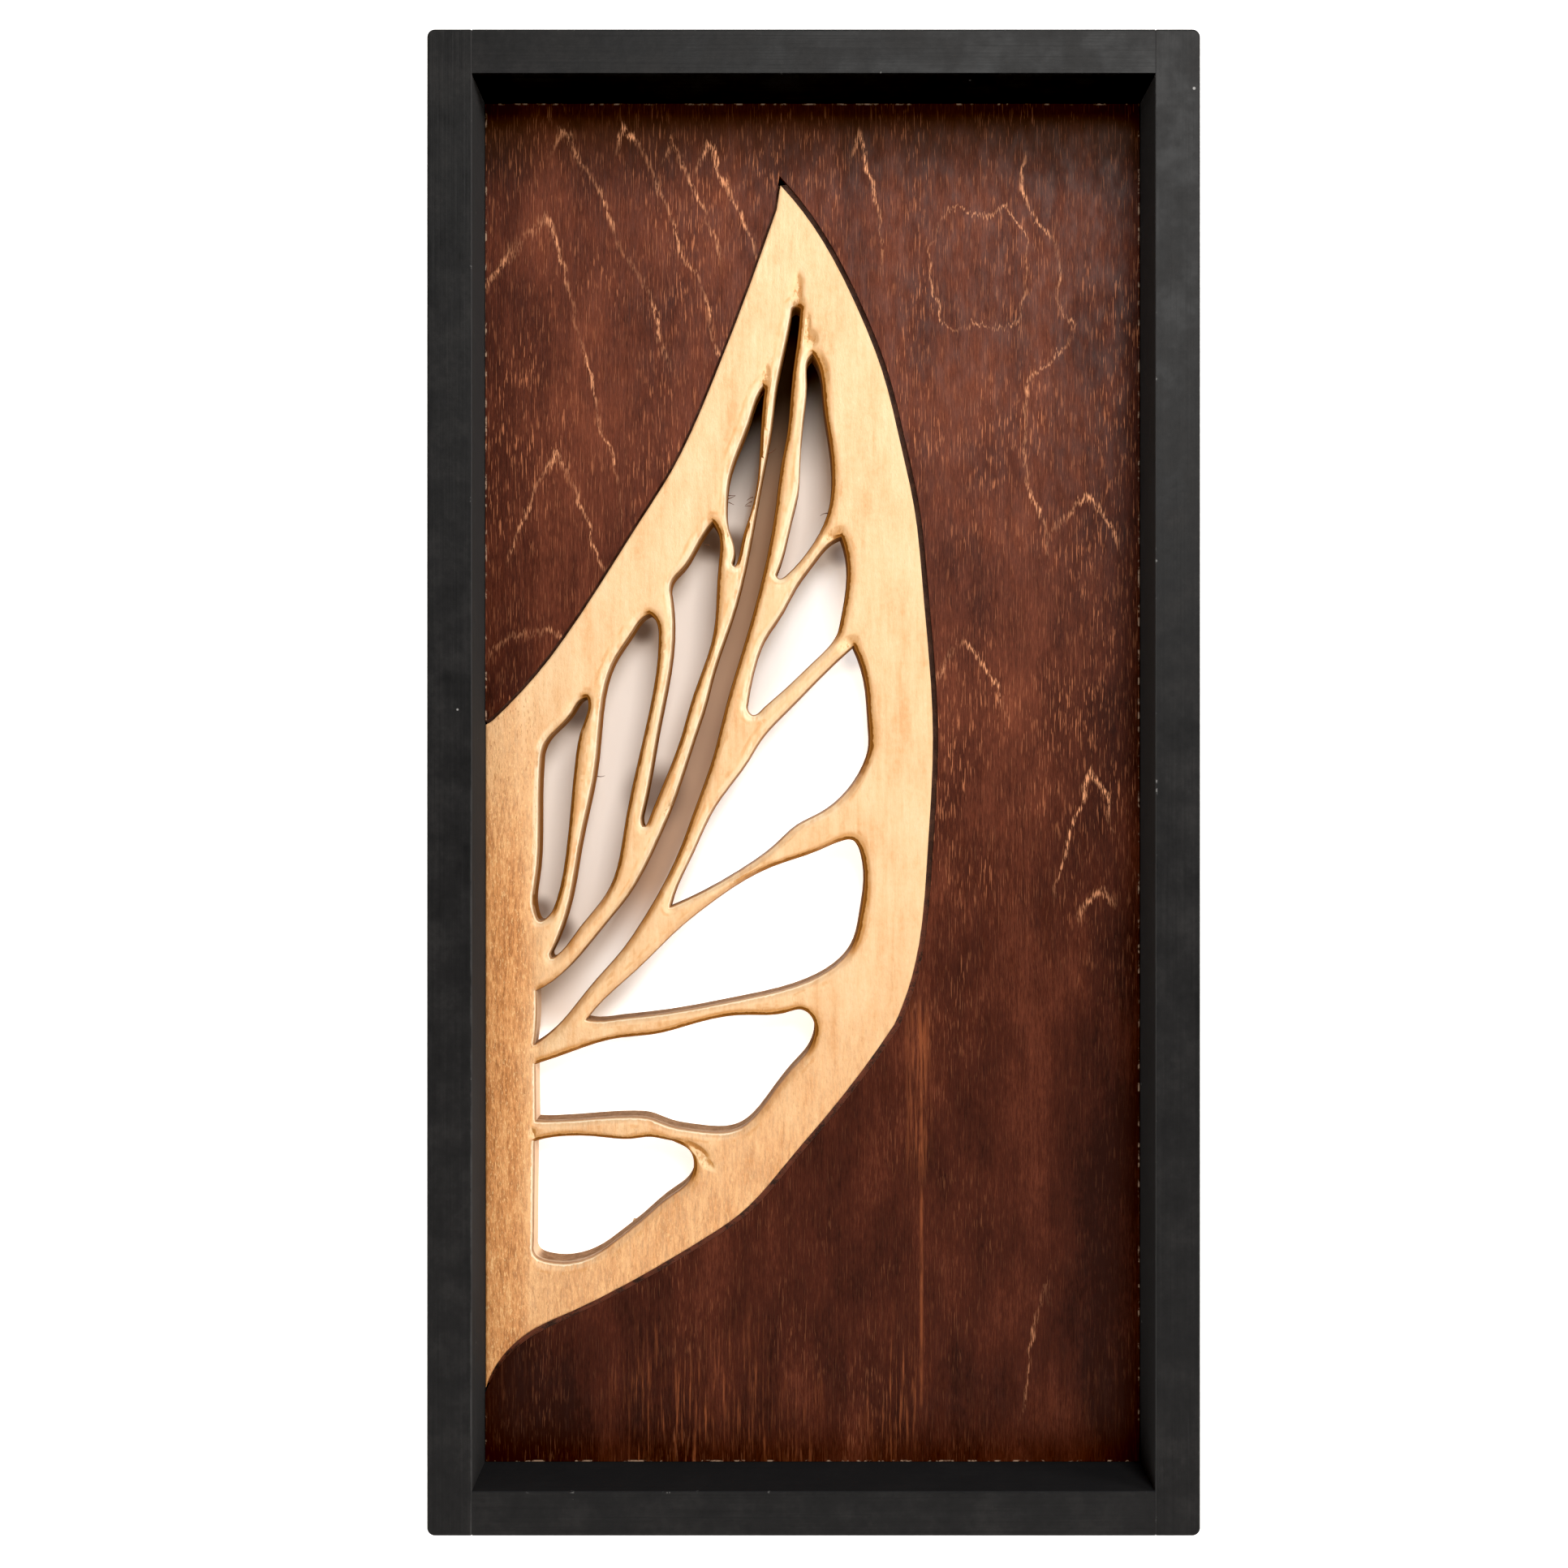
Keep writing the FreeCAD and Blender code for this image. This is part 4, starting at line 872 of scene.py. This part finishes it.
def build_fibres():
    """Thin tapering hairs of wood that curl out of the cut edges."""
    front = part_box("wing")[0][1] / MM
    vertices, polygons = [], []
    sides, steps = 5, 7
    for number, (x, z, heading, length) in enumerate(FIBRES):
        start = len(vertices)
        angle = math.radians(heading)
        place = Vector((x, front + 2.4, z)) - FIBRE_ROOT * Vector((math.cos(angle), -0.3, math.sin(angle)))
        for step in range(steps):
            share = step / (steps - 1)
            bend = angle + 0.9 * share * wander(number * 3.1, 0.5, 1.0, 2.5) + 0.5 * share
            ahead = Vector((math.cos(bend), -0.25 + 0.5 * share, math.sin(bend)))
            place = place + ahead * (length + FIBRE_ROOT) / (steps - 1)
            aside = Vector((-math.sin(bend), 0, math.cos(bend)))
            radius = FIBRE_RADIUS * (1 - 0.7 * share)
            for side in range(sides):
                turn = 2 * math.pi * side / sides
                outward = math.cos(turn) * aside + math.sin(turn) * Vector((0, 1, 0))
                vertices.append(place + radius * outward)
        for step in range(steps - 1):
            for side in range(sides):
                a, b = start + step * sides + side, start + step * sides + (side + 1) % sides
                polygons.append((a, b, b + sides, a + sides))
        polygons.append(tuple(start + side for side in reversed(range(sides))))
        polygons.append(tuple(start + (steps - 1) * sides + side for side in range(sides)))
    return mesh_object("loose_fibres", in_metres(vertices), polygons)


def torn_fibre(name):
    f = Finish(name)
    colour = f.ramp(f.noise(0.7, 3), (0.3, (0.045, 0.014, 0.006)), (0.7, (0.16, 0.06, 0.025)))
    return f.finish(colour, f.grade(f.noise(0.4, 2), 0.3, 0.7, 0.6, 0.8), specular=0.2)


# ---------------------------------------------------------------- the piece

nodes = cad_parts
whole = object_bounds()
tray_front = whole[0][1] / MM
opening_half_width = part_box("stile_right")[0][0] / MM
opening_half_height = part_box("rail_top")[0][2] / MM

stile_paint = black_paint("stile_paint", "z", opening_half_width, opening_half_height, tray_front)
rail_paint = black_paint("rail_paint", "x", opening_half_width, opening_half_height, tray_front)
finishes = (
    (stile_paint, ("stile_left", "stile_right", "corner_plugs")),
    (rail_paint, ("rail_top", "rail_bottom")),
    (stained_plywood("stained_plywood"), ("panel",)),
    (bare_pine("pine_upright", "z"), ("cleat_left", "cleat_right")),
    (bare_pine("pine_level", "x"), ("cleat_top", "cleat_bottom")),
    (bare_plywood("birch_plywood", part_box("splint_lower")[0][1] / MM),
     ("splint_lower", "splint_upper_left", "splint_upper_right", "splint_right")),
    (zinc("zinc_plate"), ("hanger_screws", "corner_screws", "cleat_screws", "splint_screws",
                          "hanger_strap_left", "hanger_strap_right", "hanger_ring_left",
                          "hanger_ring_right")),
    (rubber("black_rubber"), ("bumper_lower_left", "bumper_upper_left", "bumper_upper_right",
                              "bumper_lower_right")),
)
for finish, names in finishes:
    for name in names:
        nodes[name].data.materials.clear()
        nodes[name].data.materials.append(finish)

wing = build_wing("wing")
wing.data.materials.append(gold_paint("gold_paint"))
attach(wing, "frame_body")
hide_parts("wing")

fibres = build_fibres()
fibres.data.materials.append(torn_fibre("torn_fibre"))
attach(fibres, "frame_body")

glue = build_glue_line()
glue.data.materials.append(shaded_glue("shaded_glue"))
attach(glue, "frame_body")


# ---------------------------------------------------------------- stage, light and camera

WALL_Y = 0.0005  # metres behind the origin, so that the bumpers don't touch the wall
WALL_INSET = 0.004
ROOM = 2.2  # half the wall's width and height
FLOOR_Z, FLOOR_REACH = -0.46, 3
BLACK_LEVEL = 0.0035
# the photograph's camera is level and square to the wall
CAMERA_DISTANCE = 0.616  # from the frame's front, by the perspective of the frame's recess
CAMERA_X, CAMERA_Z = -0.0118, -0.0006
LENS = 35.55


def stage_sheet(name, corners, finish, faces=None):
    """A flat piece of the stage: one face, unless its faces are given."""
    sheet = mesh_object(name, corners, faces or [tuple(range(len(corners)))])
    sheet.data.materials.append(finish)
    return sheet


def one_sided(finish):
    """Makes a stage finish clear from behind, so that views of the back see past it."""
    tree = finish.tree
    clear = tree.nodes.new("ShaderNodeBsdfTransparent")
    side = tree.nodes.new("ShaderNodeNewGeometry")
    blend = tree.nodes.new("ShaderNodeMixShader")
    tree.links.new(side.outputs["Backfacing"], blend.inputs[0])
    tree.links.new(finish.shader.outputs[0], blend.inputs[1])
    tree.links.new(clear.outputs[0], blend.inputs[2])
    tree.links.new(blend.outputs[0], tree.nodes["Material Output"].inputs[0])
    return finish.material


def white_wall(name, glow, colour=(0.9, 0.88, 0.865, 1)):
    """A pale wall; glow is its own light. Glow and colour may be functions of the finish."""
    f = Finish(name)
    f.link((1, 0.985, 0.97, 1), f.shader.inputs["Emission Color"])
    f.link(glow(f) if callable(glow) else glow, f.shader.inputs["Emission Strength"])
    f.finish(colour(f) if callable(colour) else colour, 0.9, specular=0.1)
    return one_sided(f)


def beside_slit(f):
    """How far a point of the wall lies to the right of a slanting line below the wing's long slit."""
    across, upward = f.math("ADD", f.x, 113), f.math("ADD", f.z, 100)
    return f.math("SUBTRACT", f.times(across, 0.889), f.times(upward, 0.457))


def light_pool(f):
    """Light on the wall behind the wing: bright to the right of its slit, fading out at the tip."""
    pool = f.math("MAXIMUM", f.grade(beside_slit(f), 12, 46), f.grade(f.z, -103, -113))
    return f.add_up(f.times(pool, 0.62), f.grade(f.z, 100, 10, 0.0, 0.03))


# Narrow ends of the openings, where hardly any light reaches the wall: x, z, reach in millimetres
DIM_ENDS = (
    (-67, -5, 13),
    (-101, 31, 9),
    (-117, -55, 6),
    (-108, -64, 7),
    (-73, 66, 6),
    (-43, 104, 8),
    (-34, 102, 8),
    (13, 99, 6),
    (18, 54, 6),
)


def shaded_white(f):
    """The wall's colour behind the wing: white, with painted shade on the left, in the slit, at the narrow
    ends of the openings and towards the wing's tip.
    """
    # painted shade on the wall to the left of the slit
    white = f.mix(f.grade(beside_slit(f), 14, 2), (0.9, 0.88, 0.865), (0.80, 0.72, 0.66))
    white = f.mix(f.grade(f.z, -97, -106), white, (0.9, 0.88, 0.865))
    # the slit follows a cubic curve below its upper end
    down = f.math("SUBTRACT", 195.0, f.z)
    bend = f.add_up(f.times(f.add_up(f.times(down, 2.606e-6), -0.000284), down), 0.1935)
    slit = f.add_up(f.x, 6.0, f.times(down, bend))
    # painted shade in the slit
    in_slit = f.times(f.within(slit, 1.0, 5.5, 4.0), f.grade(f.z, -84, -40))
    white = f.mix(in_slit, white, (0.40, 0.255, 0.165))
    for x, z, reach in DIM_ENDS:
        away = f.vector("LENGTH", f.vector("SUBTRACT", f.point, (x, 0.5, z)))
        white = f.mix(f.grade(away, 1.4 * reach, 0.3 * reach, 0.0, 0.85), white, (0.16, 0.085, 0.045))
    # painted shade towards the top left, behind the upper ends of the narrow openings
    height = f.math("SUBTRACT", f.z, f.times(f.x, 0.72))
    return f.mix(f.grade(height, 128, 178), white, (0.02, 0.010, 0.006))


def upright_rectangle(half_width, half_height):
    """Corners of a rectangle in the wall's plane, from the lower left, as the camera sees them."""
    signs = ((-1, -1), (1, -1), (1, 1), (-1, 1))
    return [(right * half_width, WALL_Y, up * half_height) for right, up in signs]


def wall_ring(name, inner, outer, finish):
    """A wall with a rectangular hole, facing the camera."""
    corners = upright_rectangle(*outer) + upright_rectangle(*inner)
    return stage_sheet(name, corners, finish, [(0, 1, 5, 4), (1, 2, 6, 5), (2, 3, 7, 6), (3, 0, 4, 7)])


half_size = whole[1][0] - WALL_INSET, whole[1][2] - WALL_INSET
behind = stage_sheet("wall_behind", upright_rectangle(*half_size),
                     white_wall("wall_white", light_pool, shaded_white))
around = wall_ring("wall_around", half_size, (ROOM, ROOM), white_wall("wall_lit", 0.9))
stage_sheet("floor", [(-FLOOR_REACH, -FLOOR_REACH, FLOOR_Z), (FLOOR_REACH, -FLOOR_REACH, FLOOR_Z),
                      (FLOOR_REACH, FLOOR_REACH, FLOOR_Z), (-FLOOR_REACH, FLOOR_REACH, FLOOR_Z)],
            Finish("floor_white").finish((0.82, 0.81, 0.80, 1), 0.8))
# the rear lights shine through the walls
not_walls = bpy.data.collections.new("not_walls")
for wall in (behind, around):
    not_walls.objects.link(wall)
for member in not_walls.collection_objects:
    member.light_linking.link_state = "EXCLUDE"


def area_light(name, place, size, power, colour, through_walls=False):
    """A rectangular light that faces the middle of the wall; power is in watts."""
    data = bpy.data.lights.new(name, "AREA")
    data.shape = "RECTANGLE"
    data.size, data.size_y = size
    data.energy = power
    data.color = colour
    light = bpy.data.objects.new(name, data)
    light.location = place
    light.rotation_euler = (-Vector(place)).to_track_quat("-Z", "Y").to_euler()
    bpy.context.scene.collection.objects.link(light)
    if through_walls:
        light.light_linking.blocker_collection = not_walls


area_light("key", (0.34, -1.45, 0.76), (0.8, 0.5), 23.5, (1, 0.985, 0.96))
area_light("rim_right", (1.25, -0.62, 0.55), (0.4, 0.4), 5.5, (1, 0.97, 0.94))
area_light("back_left", (-1.0, 1.2, 0.9), (1.0, 1.0), 9, (1, 0.99, 0.97), True)
area_light("back_right", (1.2, 1.1, 0.2), (0.8, 0.8), 4, (0.97, 0.98, 1), True)

world = bpy.data.worlds.new("studio")
world.use_nodes = True
background = world.node_tree.nodes["Background"].inputs
background["Color"].default_value = (1, 0.99, 0.98, 1)
background["Strength"].default_value = 0.32
scene = bpy.context.scene
scene.world = world
scene.view_settings.view_transform = "Standard"
# the photograph's blacks are cut off a little
scene.view_settings.use_curve_mapping = True
scene.view_settings.curve_mapping.black_level = (BLACK_LEVEL, BLACK_LEVEL, BLACK_LEVEL)

camera_data = bpy.data.cameras.new("camera")
camera_data.lens = LENS
camera_data.sensor_width = 36
camera_data.clip_start = 0.01
camera = bpy.data.objects.new("camera", camera_data)
camera.location = (CAMERA_X, tray_front * MM - CAMERA_DISTANCE, CAMERA_Z)
camera.rotation_euler = (math.radians(90), 0, 0)
scene.collection.objects.link(camera)
scene.camera = camera
